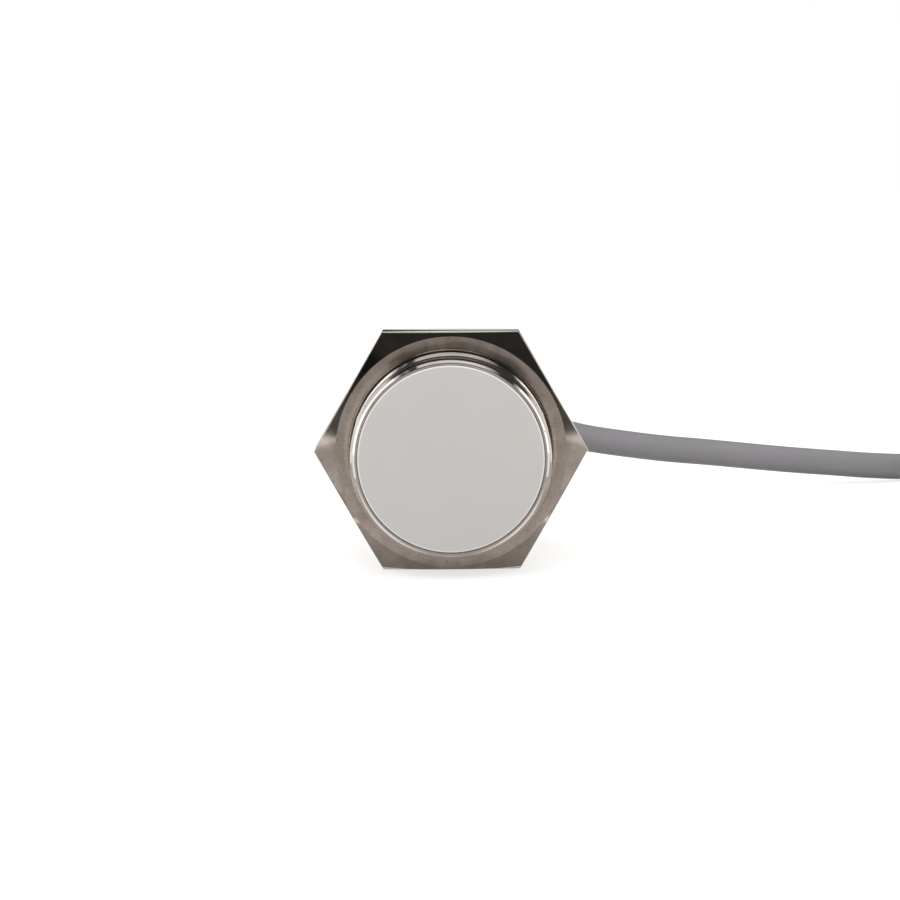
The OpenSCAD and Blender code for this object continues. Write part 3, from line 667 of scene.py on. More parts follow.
def apply_modifier(piece: Object, kind: str, **settings: object) -> None:
    """Add a modifier to a piece and apply it.

    Args:
        piece: The piece.
        kind: Type of the modifier.
        **settings: Properties of the modifier.
    """
    pick(piece)
    modifier = piece.modifiers.new(kind.title(), kind)
    for name, value in settings.items():
        setattr(modifier, name, value)
    bpy.ops.object.modifier_apply(modifier=modifier.name)


def smooth(piece: Object, degrees: float = 30.0) -> None:
    """Shade a piece smooth where its faces meet at less than an angle."""
    pick(piece)
    bpy.ops.object.shade_smooth_by_angle(angle=math.radians(degrees))


def outlined(name: str, profile: Profile) -> Object:
    """Draw a closed profile beside the Y axis.

    Args:
        name: Name of the piece.
        profile: Points of radius and place along the axis, in millimetres.

    Returns:
        The profile, one ring of points.
    """
    deselect()
    bpy.ops.mesh.primitive_circle_add(vertices=len(profile), radius=MM)
    piece = bpy.context.active_object
    piece.name = piece.data.name = name
    freeze(piece)
    for vertex, (radius, along) in zip(piece.data.vertices, profile):
        vertex.co = (radius * MM, along * MM, 0.0)
    return piece


def turned(name: str, profile: Profile) -> Object:
    """Turn a closed profile round the Y axis, as on a lathe.

    Args:
        name: Name of the piece.
        profile: Points of radius and place along the axis, in millimetres.

    Returns:
        The turned piece.
    """
    piece = outlined(name, profile)
    edit_all(piece)
    bpy.ops.mesh.spin(steps=TURNED_STEPS, angle=2 * math.pi, center=(0, 0, 0), axis=(0, 1, 0))
    finish_mesh(piece)
    return piece


def wind(piece: Object, pitch_mm: float, turns: int, steps: int) -> None:
    """Wind a profile round the Y axis, and forward along it.

    Args:
        piece: The profile.
        pitch_mm: Way along the axis in one turn.
        turns: Number of turns.
        steps: Number of faces in one turn.
    """
    apply_modifier(
        piece, "SCREW", axis="Y", angle=2 * math.pi, screw_offset=pitch_mm * MM, iterations=turns,
        steps=steps, render_steps=steps,
    )


def close_ends(piece: Object, merge_mm: float = 0.0005) -> None:
    """Close the open ends of a wound piece.

    Args:
        piece: The piece.
        merge_mm: Points nearer than this become one.
    """
    edit_all(piece)
    bpy.ops.mesh.fill_holes(sides=0)
    finish_mesh(piece, merge_mm)


def put_in_scene(name: str, data: bpy.types.ID) -> Object:
    """Make an object of some data, and put it in the scene.

    Args:
        name: Name of the object.
        data: Its curve, lamp or camera.

    Returns:
        The object.
    """
    made = bpy.data.objects.new(name, data)
    bpy.context.scene.collection.objects.link(made)
    return made


def swept(name: str, lines: list[list[Vector]], radius_mm: float, sides: int) -> Object:
    """Lay round wires along lines of points, as one piece.

    Args:
        name: Name of the piece.
        lines: The middle line of each wire, in millimetres.
        radius_mm: Radius of the wires.
        sides: Extra divisions in each quarter of their section.

    Returns:
        The wires, a curve of open lines.
    """
    data = bpy.data.curves.new(name, "CURVE")
    data.dimensions = "3D"
    data.bevel_depth = radius_mm * MM
    data.bevel_resolution = sides
    data.use_fill_caps = True
    for points in lines:
        line = data.splines.new("POLY")
        line.points.add(len(points) - 1)
        for spot, point in zip(line.points, points):
            spot.co = (*(point * MM), 1.0)
    return put_in_scene(name, data)


def eased(share: float) -> float:
    """Return a share that starts and ends softly, from 0 to 1."""
    held = min(1.0, max(0.0, share))
    return held * held * (3 - 2 * held)


def smoothed(points: list[Vector]) -> list[Vector]:
    """Draw a smooth line through points.

    Args:
        points: Points that the line passes.

    Returns:
        The line's points, the given ones among them.
    """
    ends = [2 * points[0] - points[1], *points, 2 * points[-1] - points[-2]]
    line = []
    for before, here, there, after in zip(ends, ends[1:], ends[2:], ends[3:]):
        for t in (i / LINE_PARTS for i in range(LINE_PARTS)):
            first = (there - before) * t
            second = (2 * before - 5 * here + 4 * there - after) * t**2
            third = (3 * here - before - 3 * there + after) * t**3
            line.append(0.5 * (2 * here + first + second + third))
    return [*line, points[-1]]


def line_length(points: list[Vector]) -> float:
    """Return the length along a line of points."""
    return sum((b - a).length for a, b in zip(points, points[1:]))


@dataclass
class PhotographCamera:
    """The camera in front of the sensing face, a little above the table."""

    place: tuple[float, float, float] = (0.0, -596.5, 48.0)
    aim: tuple[float, float, float] = (-0.14, 15.5, 0.18)
    lens: float = 162.3
    sensor: float = 36.0
    near: float = 10.0
    roll: float = -0.45

    def build(self) -> Object:
        """Make the camera and set it as the scene's.

        Returns:
            The camera.
        """
        data = bpy.data.cameras.new("photograph_camera")
        data.lens = self.lens
        data.sensor_width = self.sensor
        data.clip_start = self.near * MM
        camera = put_in_scene("photograph_camera", data)
        place, aim = Vector(self.place) * MM, Vector(self.aim) * MM
        look = (aim - place).to_track_quat("-Z", "Y").to_matrix().to_4x4()
        turn = Matrix.Rotation(math.radians(self.roll), 4, "Z")
        camera.matrix_world = Matrix.Translation(place) @ look @ turn
        bpy.context.scene.camera = camera
        return camera


@dataclass
class CablePath:
    """The cable's whole line: through the strain relief, down to the table, and round the coil."""

    diameter: float = 4.8
    exit_y: float = 88.0
    # Points of the cable's middle from inside the rear cap to the coil, measured from the boot's end
    route: tuple[tuple[float, float, float], ...] = (
        (0, -27, 0), (0, -18, 0), (0, -9, 0), (0, 0, 0), (0, 7, -0.1), (0.6, 14, -0.4),
        (2.4, 20.7, -1), (5.4, 27, -1.8), (9.4, 32.7, -2.9), (14.3, 37.6, -4.2),
        (19.5, 41.4, -5.6), (25, 44.8, -7.1), (31.5, 48.9, -8.4), (39, 53.6, -9.7),
        (47, 58.5, -10.8), (55, 63.1, -11.95), (63, 67.5, -13.05), (71, 71.6, -14),
        (79, 75.4, -14.9), (87, 78.9, -15.4), (94.8, 82.4, -14.9), (100, 85.4, -14.9),
    )
    layers: int = 4
    layer_turns: float = 2.6
    coil_radius: float = 34.0
    # Distance between the turns of a layer, and between layers
    turn_step: float = 5.4
    layer_lift: float = 5.3
    # Share of a turn in which the cable climbs to the next layer
    climb: float = 0.5
    # Points that each turn is drawn with
    rings: int = 60

    def __post_init__(self) -> None:
        """Work out where the coil starts and lies."""
        self.points = [Vector(p) + Vector((0, self.exit_y, 0)) for p in self.route]
        last = self.points[-1]
        way = last - self.points[-2]
        heading = math.atan2(way.y, way.x)
        self.start_angle = heading + math.pi / 2
        self.turns = self.layers * self.layer_turns
        ahead = Vector((math.cos(heading), math.sin(heading), 0))
        out = Vector((math.cos(self.start_angle), math.sin(self.start_angle), 0))
        self.centre = last + self.diameter * ahead - self.coil_radius * out
        self.top = self.diameter / 2 + self.layer_lift * (self.layers - 1) + self.centre.z
        self.end = self.coil_point(self.turns) + self.diameter * self.coil_way(self.turns)

    def coil_point(self, turn: float) -> Vector:
        """Find the middle of the cable in the coil.

        Args:
            turn: Number of turns from the coil's start.

        Returns:
            The point.
        """
        there_and_back = 2 * self.layer_turns
        inward = min(turn % there_and_back, there_and_back - turn % there_and_back)
        radius = self.coil_radius - self.turn_step * inward
        angle = self.start_angle - 2 * math.pi * turn
        level = sum(
            eased((turn - layer * self.layer_turns) / self.climb + 0.5)
            for layer in range(1, self.layers)
        )
        return self.centre + Vector(
            (radius * math.cos(angle), radius * math.sin(angle), self.layer_lift * level)
        )

    def coil_way(self, turn: float) -> Vector:
        """Return the way the cable runs at a number of turns."""
        angle = self.start_angle - 2 * math.pi * turn
        return Vector((math.sin(angle), -math.cos(angle), 0))

    def line(self) -> list[Vector]:
        """Draw the middle line of the whole cable.

        Returns:
            The line's points.
        """
        count = int(self.turns * self.rings)
        coil = [self.coil_point(self.turns * i / count) for i in range(count + 1)]
        return smoothed(self.points) + coil + [self.end]


@dataclass
class CableRun:
    """The cable and all that is on it: jacket, coil, straps, cores and their bare ends."""

    path: CablePath = field(default_factory=CablePath)
    core_diameter: float = 1.3
    stripped: float = 50.0
    # Radius of the bend that the cores lie in
    bend: float = 26.0
    # Distance between the cores where they leave the jacket, and where they have fanned out
    pitch: float = 1.4
    spread: float = 2.4
    # Length in which the cores climb onto the coil
    rise: float = 14.0
    core_steps: int = 48
    bare: float = 6.0
    strands: int = 7
    strand_radius: float = 0.15
    strand_steps: int = 24
    strand_twist: float = 20.0
    # How far the strands reach into the insulation
    strand_hold: float = 0.01

    def build(self) -> list[Object]:
        """Model the cable and declare its cords.

        Returns:
            The cable's pieces.
        """
        jacket = self.jacket()
        straps = CoilStraps(self.path).build()
        cores = [
            self.core("brown", 1, BROWN_VINYL),
            self.core("black", 0, BLACK_VINYL),
            self.core("blue", -1, BLUE_VINYL),
        ]
        ends = self.bare_ends()
        line_length(self.path.line()) * MM
        for core, lane in zip(cores, (1, 0, -1)):
            line_length(self.core_line(lane)) * MM
        return [jacket, straps, *cores, ends]

    def jacket(self) -> Object:
        """Lay the jacket from inside the rear cap to the coil's end.

        Returns:
            The jacket.
        """
        piece = swept("cable_jacket", [self.path.line()], self.path.diameter / 2, 6)
        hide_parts("cable", "cable_coil")
        VINYL_JACKET.dress(piece)
        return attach(piece, "sensor")

    def core_line(self, lane: int, start: float = 0.0, past: float = 0.0) -> list[Vector]:
        """Draw a core's middle line.

        Args:
            lane: Place of the core, -1, 0 or 1 across the others.
            start: Length along the bend at which the line starts.
            past: Length beyond the insulation's end.

        Returns:
            The line's points.
        """
        way = self.path.coil_way(self.path.turns)
        side = Vector((-way.y, way.x, 0))
        climb = self.path.top + self.core_diameter / 2 - self.path.end.z
        points = [] if start else [self.path.end + side * lane * self.pitch]
        for i in range(self.core_steps + 1):
            s = start + (self.stripped + past - start) * i / self.core_steps
            share = min(1.0, s / self.rise)
            bent = self.bend + lane * (self.pitch + (self.spread - self.pitch) * share)
            turn = min(s, self.stripped) / self.bend
            beyond = max(0.0, s - self.stripped)
            points.append(
                self.path.end - side * self.bend + side * bent * math.cos(turn)
                + way * (bent * math.sin(turn) + self.core_diameter)
                + Vector((0, 0, climb * eased(share)))
                + (way * math.cos(turn) - side * math.sin(turn)) * beyond
            )
        return points

    def core(self, colour: str, lane: int, finish: Finish) -> Object:
        """Lay one stripped core on top of the coil.

        Args:
            colour: Colour word in the core's name.
            lane: Place of the core across the others.
            finish: The insulation's finish.

        Returns:
            The core.
        """
        piece = swept(
            f"core_{colour}_insulation", [self.core_line(lane)], self.core_diameter / 2, 3
        )
        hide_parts(f"core_{colour}")
        finish.dress(piece)
        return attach(piece, "sensor")

    def bare_ends(self) -> Object:
        """Twist the tinned strands at the end of each core, one strand inside a ring of the others.

        Returns:
            The strands of the three cores.
        """
        lines = []
        for lane in (-1, 0, 1):
            middle = self.core_line(lane, self.stripped - self.strand_hold, self.bare)
            start, ahead = middle[0], (middle[-1] - middle[0]).normalized()
            across = ahead.cross(Axis.UP.value)
            for strand in range(self.strands):
                off = 0.0 if strand == self.strands - 1 else 2 * self.strand_radius
                first = 360 / (self.strands - 1) * strand
                points = []
                for i in range(self.strand_steps + 1):
                    angle = math.radians(first + self.strand_twist * i)
                    round_it = across * math.cos(angle) + Axis.UP.value * math.sin(angle)
                    points.append(
                        start + ahead * (self.bare * i / self.strand_steps) + round_it * off
                    )
                lines.append(points)
        piece = swept("core_strands", lines, self.strand_radius, 2)
        pick(piece)
        bpy.ops.object.convert(target="MESH")
        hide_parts("core_ends")
        TINNED_COPPER.dress(piece)
        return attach(piece, "sensor")


@dataclass
class CoilStraps:
    """The straps that hold the coil, each a closed band with a locking head."""

    path: CablePath
    width: float = 5.0
    thickness: float = 0.7
    corner: float = 2.0
    slack: float = 0.3
    angles: tuple[float, ...] = (60.0, 200.0)
    edge: float = 0.15
    table: float = -18.0
    # Size of the locking head: along the strap, over its two sides, and upwards
    head_length: float = 5.4
    head_side: float = 0.7
    head_height: float = 2.2
    # Height of the head's middle over the strap
    head_rise: float = 0.7
    # Wall round the head's slot, the slot's depth, and the gap to the tail that stands in it
    slot_wall: float = 0.9
    slot_depth: float = 0.8
    tail_gap: float = 0.25
    tail_height: float = 0.5

    def build(self) -> Object:
        """Model the straps round the coil.

        Returns:
            The straps as one piece.
        """
        piece = join([self.strap(angle) for angle in self.angles])
        piece.name = piece.data.name = "coil_straps"
        smooth(piece)
        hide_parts("coil_ties")
        STRAP_POLYAMIDE.dress(piece)
        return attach(piece, "sensor")

    def strap(self, angle: float) -> Object:
        """Model one strap at its place.

        Args:
            angle: Its place round the coil, in degrees.

        Returns:
            The strap.
        """
        round_cable = self.path.diameter / 2 + self.slack
        inner = self.path.coil_radius - self.path.turn_step * self.path.layer_turns
        left, right = inner - round_cable, self.path.coil_radius + round_cable
        low, high = self.table + self.thickness, self.path.top + self.slack
        middle = (left + right) / 2
        wide, tall = (right - left) / 2 + self.thickness, (high - low) / 2 + self.thickness
        deselect()
        bpy.ops.mesh.primitive_plane_add(size=MM)
        band = bpy.context.active_object
        freeze(band)
        for vertex, (x, z) in zip(band.data.vertices, ((-1, -1), (1, -1), (-1, 1), (1, 1))):
            vertex.co = Vector((middle + x * wide, -self.width / 2, (low + high) / 2 + z * tall)) * MM
        edit_all(band)
        rounding = (self.corner + self.thickness) * MM
        bpy.ops.mesh.bevel(offset=rounding, segments=6, affect="VERTICES", profile=0.5)
        bpy.ops.mesh.inset(thickness=self.thickness * MM, depth=0)
        bpy.ops.mesh.delete(type="ONLY_FACE")
        bpy.ops.mesh.select_all(action="SELECT")
        bpy.ops.mesh.extrude_region_move(
            TRANSFORM_OT_translate={"value": (0, self.width * MM, 0)}
        )
        finish_mesh(band)
        join([band, self.head(middle, high + self.thickness)])
        apply_modifier(
            band, "BEVEL", width=self.edge * MM, segments=2, angle_limit=math.radians(40)
        )
        centre = Vector((self.path.centre.x, self.path.centre.y, 0)) * MM
        turn = Matrix.Rotation(math.radians(angle), 4, "Z")
        band.matrix_world = Matrix.Translation(centre) @ turn
        freeze(band)
        return band

    def head(self, along: float, top: float) -> Object:
        """Model the locking head on top of a strap.

        Args:
            along: Place of the head along the strap's top.
            top: Height of the strap's upper side.

        Returns:
            The head, with its slot and the tail's cut end in it.
        """
        deselect()
        bpy.ops.mesh.primitive_cube_add(
            size=MM, location=(along * MM, 0, (top + self.head_rise) * MM)
        )
        head = bpy.context.active_object
        head.scale = (self.head_length, self.width + 2 * self.head_side, self.head_height)
        freeze(head)
        bpy.ops.object.mode_set(mode="EDIT")
        bpy.ops.mesh.select_all(action="DESELECT")
        bpy.ops.object.mode_set(mode="OBJECT")
        for face in head.data.polygons:
            face.select = face.normal.z > 0.9
        bpy.ops.object.mode_set(mode="EDIT")
        bpy.ops.mesh.inset(thickness=self.slot_wall * MM, depth=-self.slot_depth * MM)
        bpy.ops.mesh.inset(thickness=self.tail_gap * MM, depth=self.tail_height * MM)
        bpy.ops.object.mode_set(mode="OBJECT")
        return head


@dataclass
class HexNut:
    """A chamfered hexagon nut, modelled as it is made: a bar end, turned, bored and sunk."""

    name: str
    node: str
    body: str
    front: float
    turn: float = 0.0
    across_flats: float = 36.0
    height: float = 5.0
    # Radius of the flat face inside the chamfer, and how far its circle stands below the bore's
    chamfer_radius: float = 17.48
    chamfer_drop: float = 0.12
    chamfer_angle: float = 17.0
    bore: float = 15.06
    sink: float = 0.45
    edge: float = 0.14
    # Cutters reach this far past the nut
    beyond: float = 1.0
    # The chamfer's cone stands off the nut's faces by this, so that no two faces lie in one plane
    stand_off: float = 0.0005
    # Width under which an edge that the cuts leave is closed up
    sliver: float = 0.002

    def build(self) -> Object:
        """Model the nut.

        Returns:
            The nut.
        """
        corner = self.across_flats / 2 / math.cos(math.radians(30))
        back = self.front + self.height
        deselect()
        bpy.ops.mesh.primitive_cylinder_add(
            vertices=6,
            radius=corner * MM,
            depth=self.height * MM,
            location=(0, (self.front + self.height / 2) * MM, 0),
            rotation=(math.radians(90), 0, 0),
        )
        piece = bpy.context.active_object
        piece.name = piece.data.name = self.name
        freeze(piece)
        self.square_corners(piece)
        wide = corner + self.beyond
        drop = (wide - self.chamfer_radius) * math.tan(math.radians(self.chamfer_angle))
        face, rear = self.front - self.stand_off, back + self.stand_off
        blank = turned(
            "nut_chamfer_cone",
            [(AXIS_R, face), (self.chamfer_radius, face), (wide, self.front + drop),
             (wide, back - drop), (self.chamfer_radius, rear), (AXIS_R, rear)],
        )
        blank.location.z = -self.chamfer_drop * MM
        freeze(blank)
        self.cut(piece, blank, "INTERSECT")
        mouth = self.bore + self.sink + self.beyond
        ahead, behind = self.front - self.beyond, back + self.beyond
        hole = turned(
            "nut_bore_cutter",
            [(AXIS_R, ahead), (mouth, ahead), (self.bore, self.front + self.sink),
             (self.bore, back - self.sink), (mouth, behind), (AXIS_R, behind)],
        )
        self.cut(piece, hole, "DIFFERENCE")
        finish_mesh(piece, self.sliver)
        apply_modifier(
            piece, "BEVEL", width=self.edge * MM, segments=2, angle_limit=math.radians(25),
            miter_outer="MITER_ARC",
        )
        smooth(piece, 14)
        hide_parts(self.node)
        NUT_NICKEL.dress(piece)
        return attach(piece, self.body)

    def square_corners(self, piece: Object) -> None:
        """Turn the hexagon so that two corners point sideways, plus the nut's own turn.

        Args:
            piece: The hexagonal bar.
        """
        first = max(piece.data.vertices, key=lambda v: v.co.x).co
        now = math.atan2(first.z, first.x)
        piece.matrix_world = Matrix.Rotation(now + math.radians(self.turn), 4, "Y")
        freeze(piece)

    @staticmethod
    def cut(piece: Object, tool: Object, operation: str) -> None:
        """Cut a piece with a tool, and remove the tool."""
        apply_modifier(piece, "BOOLEAN", object=tool, operation=operation, solver="EXACT")
        bpy.data.objects.remove(tool)


@dataclass
class ThreadedBarrel:
    """The brass barrel: a turned tube with a thin lip round the face, and the thread cut on it."""

    bore: float = 13.2
    seat: float = 13.9
    seat_back: float = 1.7
    front: float = 0.3
    lip: float = 14.6
    lip_chamfer: float = 0.35
    seat_chamfer: float = 0.14
    collar: float = 14.95
    collar_front: float = 0.85
    collar_back: float = 4.35
    # Chamfers of the collar: inwards and back at its front, and even at its back
    collar_chamfer: tuple[float, float] = (0.3, 0.17)
    collar_back_chamfer: float = 0.12
    root: float = 14.188
    crest: float = 15.0
    pitch: float = 1.5
    flank: float = 30.0
    thread_front: float = 5.35
    ridges: int = 35
    # Depth of the thread's foot in the tube
    foot: float = 0.14
    # Rounding of the crest, and its reach down the flank and along the crest in shares of it
    rounding: float = 0.05
    rounding_reach: tuple[float, float] = (0.6, 0.5)
    # Share of the thread's height that its two ends start with
    run_out: float = 0.02
    back: float = 62.3
    neck_chamfer: float = 0.4
    edge: float = 0.03
    steps: int = 96
    # Points nearer than this are one, less than the ridge's last step at its ends
    least: float = 0.0001

    def build(self) -> Object:
        """Model the barrel.

        Returns:
            The barrel.
        """
        down, along = self.collar_chamfer
        piece = turned(
            "threaded_barrel",
            [(self.bore, self.seat_back), (self.seat, self.seat_back),
             (self.seat, self.front + self.seat_chamfer), (self.seat + self.seat_chamfer, self.front),
             (self.lip - self.lip_chamfer, self.front), (self.lip, self.front + self.lip_chamfer),
             (self.lip, self.collar_front), (self.collar - down, self.collar_front),
             (self.collar, self.collar_front + along),
             (self.collar, self.collar_back - self.collar_back_chamfer),
             (self.collar - self.collar_back_chamfer, self.collar_back),
             (self.root, self.collar_back), (self.root, self.back - self.neck_chamfer),
             (self.root - self.neck_chamfer, self.back), (self.bore, self.back)],
        )
        apply_modifier(
            piece, "BEVEL", width=self.edge * MM, segments=1, angle_limit=math.radians(30)
        )
        join([piece, self.thread()])
        smooth(piece, 15)
        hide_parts("barrel")
        TURNED_NICKEL.dress(piece)
        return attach(piece, "sensor")

    def thread(self) -> Object:
        """Cut the right-handed thread: one ridge that winds round the tube and runs out at its ends.

        Returns:
            The ridge.
        """
        base = self.root - self.foot
        # The crest's flat is an eighth of the pitch wide
        half_crest = self.pitch / 16
        half_base = half_crest + (self.crest - base) * math.tan(math.radians(self.flank))
        shoulder = self.crest - self.rounding
        down, over = (reach * self.rounding for reach in self.rounding_reach)
        start = self.thread_front + self.pitch / 2
        half = ((base, half_base), (shoulder, half_crest + down), (self.crest, half_crest - over))
        rising = [(radius, start - along) for radius, along in half]
        falling = [(radius, start + along) for radius, along in reversed(half)]
        ridge = outlined("thread_ridge", rising + falling)
        wind(ridge, self.pitch, self.ridges - 1, self.steps)
        points = len(half) * 2
        rings = len(ridge.data.vertices) // points
        for vertex in ridge.data.vertices:
            ring = vertex.index // points
            to_end = min(1.0, min(ring, rings - 1 - ring) / (self.steps / 2))
            share = eased(self.run_out + (1 - self.run_out) * to_end)
            radius = math.hypot(vertex.co.x, vertex.co.z)
            ratio = (base * MM + (radius - base * MM) * share) / radius
            vertex.co.x *= ratio
            vertex.co.z *= ratio
        close_ends(ridge, self.least)
        return ridge


@dataclass
class SensingCap:
    """The polyester cap that closes the barrel's front: a flanged cup, whose floor is the face."""

    flange: float = 13.85
    flange_back: float = 1.7
    skirt: float = 13.15
    inside: float = 11.75
    wall: float = 1.2
    back: float = 14.0
    groove: float = 12.35
    groove_front: float = 9.6
    groove_width: float = 1.4
    edge: float = 0.16
    edge_parts: int = 6

    def build(self) -> Object:
        """Model the cap.

        Returns:
            The cap.
        """
        angles = [math.pi / 2 * i / self.edge_parts for i in range(self.edge_parts + 1)]
        rounding = [
            (self.flange - self.edge * (1 - math.sin(a)), self.edge * (1 - math.cos(a)))
            for a in angles
        ]
        groove_back = self.groove_front + self.groove_width
        piece = turned(
            "sensing_face_cap",
            [(AXIS_R, 0.0), *rounding, (self.flange, self.flange_back),
             (self.skirt, self.flange_back), (self.skirt, self.groove_front),
             (self.groove, self.groove_front), (self.groove, groove_back),
             (self.skirt, groove_back), (self.skirt, self.back), (self.inside, self.back),
             (self.inside, self.wall), (AXIS_R, self.wall)],
        )
        smooth(piece, 20)
        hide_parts("sensing_cap")
        FACE_POLYESTER.dress(piece)
        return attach(piece, "sensor")


@dataclass
class Winding:
    """The pickup coil's copper wire, wound in layers on the bobbin."""

    inner: float = 5.75
    outer: float = 9.5
    front: float = 1.95
    back: float = 6.65
    wire: float = 0.46
    wire_sides: int = 8
    steps: int = 40
    # Distance between layers in wires, which lie in each other's grooves, and the room counted for one
    layer_step: float = 0.88
    layer_room: float = 0.9

    def build(self) -> Object:
        """Model the winding.

        Returns:
            The winding.
        """
        turns = int((self.back - self.front) / self.wire) - 1
        layers = int((self.outer - self.inner) / (self.wire * self.layer_room))
        made = []
        for layer in range(layers):
            out = self.outer - self.wire * (0.5 + self.layer_step * layer)
            along = self.front + self.wire * (0.5 + 0.5 * (layer % 2))
            deselect()
            bpy.ops.mesh.primitive_circle_add(
                vertices=self.wire_sides, radius=self.wire / 2 * MM,
                location=(out * MM, along * MM, 0),
            )
            made.append(bpy.context.active_object)
        piece = join(made)
        piece.name = piece.data.name = "pickup_winding"
        freeze(piece)
        wind(piece, self.wire, turns - 1, self.steps)
        close_ends(piece)
        smooth(piece, 50)
        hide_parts("coil_winding")
        ENAMELLED_COPPER.dress(piece)
        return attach(piece, "sensor")


@dataclass
class InnerCores:
    """The three cores inside the rear cap, from the jacket's end to their places on the board."""

    start_y: float = 61.0
    radius: float = 0.65
    jacket_radius: float = 2.4
    pad_pitch: float = 4.0
    pad_y: float = 51.5
    pad_z: float = 2.3
    pad_run: float = 3.0
    # Points on the slanting stretch, in shares of it
    slant: tuple[float, float] = (0.3, 0.7)

    def build(self) -> list[Object]:
        """Lay the three cores.

        Returns:
            The cores.
        """
        # Colour, place on the board, place in the jacket in shares of its radius, and finish
        lanes = (
            ("brown", -1, (-0.40, -0.23), BROWN_VINYL),
            ("black", 0, (0.0, 0.46), BLACK_VINYL),
            ("blue", 1, (0.40, -0.23), BLUE_VINYL),
        )
        along = Axis.ALONG.value
        pieces = []
        for colour, lane, (x, z), finish in lanes:
            start = Vector((x * self.jacket_radius, self.start_y, z * self.jacket_radius))
            end = Vector((lane * self.pad_pitch, self.pad_y, self.pad_z))
            bend = end + along * self.pad_run
            points = [
                start, start - along * self.radius,
                *(start.lerp(bend, share) for share in self.slant),
                bend, end + along * self.radius, end,
            ]
            piece = swept(f"board_lead_{colour}", [smoothed(points)], self.radius, 3)
            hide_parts(f"inner_core_{colour}")
            finish.dress(piece)
            pieces.append(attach(piece, "sensor"))
        return pieces


@dataclass
class PackedPieces:
    """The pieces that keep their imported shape, and the finish of each."""

    finishes: tuple[tuple[Finish, tuple[str, ...]], ...] = (
        (STAMPED_STEEL, ("front_washer", "rear_washer")),
        (NITRILE, ("front_seal", "rear_seal")),
        (FERRITE, ("ferrite_core",)),
        (BOBBIN, ("coil_former",)),
        (ENAMELLED_COPPER, ("coil_leads",)),
        (FILLED_POLYAMIDE, ("core_holder", "rear_cap", "trimmer_plug")),
        (LAMINATE, ("circuit_board",)),
        (CHIP_EPOXY, ("oscillator_chip", "pulse_counter_chip", "output_transistor")),
        (CHIP_EPOXY, ("voltage_regulator", "protection_diodes")),
        (DRAWN_CAN, ("timing_crystal",)),
        (CAPACITOR_EPOXY, ("filter_capacitors",)),
        (FIRED_CERAMIC, ("chip_capacitors",)),
        (RESISTOR_GLAZE, ("chip_resistors",)),
        (SOLDER, ("solder_joints",)),
        (GREEN_LENS, ("power_led",)),
        (AMBER_LENS, ("output_led",)),
        (TRIMMER_BLUE, ("trimmer_body",)),
        (SCREW_BRASS, ("trimmer_screw",)),
        (CAST_RESIN, ("resin_fill",)),
        (CLEAR_ROD, ("power_light_guide", "output_light_guide")),
        (SOFT_ELASTOMER, ("strain_relief",)),
        (CRIMPED_STEEL, ("cable_clamp",)),
    )

    def build(self) -> list[Object]:
        """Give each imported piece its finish.

        Returns:
            The pieces.
        """
        pieces = []
        for finish, nodes in self.finishes:
            for piece in (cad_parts[node] for node in nodes):
                finish.dress(piece)
                pieces.append(piece)
        return pieces


@dataclass(frozen=True)
class Softbox:
    """A lamp with a plain bright face."""

    name: str
    place: tuple[float, float, float]
    size: tuple[float, float]
    # How bright its face is, where white paper is 1
    strength: float
    aim: tuple[float, float, float] = (0.0, 0.0, 0.0)
    # Angle to which a grid narrows the light, or 0 for an upright lamp without one
    grid: float = 0.0
    mirrored: bool = True

    def build(self) -> Object:
        """Stand the lamp in its place.

        Returns:
            The lamp.
        """
        data = bpy.data.lights.new(self.name, "AREA")
        data.shape = "RECTANGLE"
        data.size, data.size_y = self.size[0] * MM, self.size[1] * MM
        data.energy = self.strength * math.pi * data.size * data.size_y
        lamp = put_in_scene(self.name, data)
        way = Vector(self.aim) - Vector(self.place)
        if self.grid:
            data.spread = math.radians(self.grid)
        else:
            way.z = 0.0
        turn = way.to_track_quat("-Z", "Y").to_matrix().to_4x4()
        lamp.matrix_world = Matrix.Translation(Vector(self.place) * MM) @ turn
        lamp.visible_camera = False
        lamp.visible_glossy = self.mirrored
        return lamp


def away_from(tree: Tree, value: Socket, middle: float) -> Node:
    """Add nodes that measure how far a value is from a middle, and return the last one."""
    offset = add_node(tree, "ShaderNodeMath", (value, middle), operation="SUBTRACT")
    return add_node(tree, "ShaderNodeMath", (offset,), operation="ABSOLUTE")


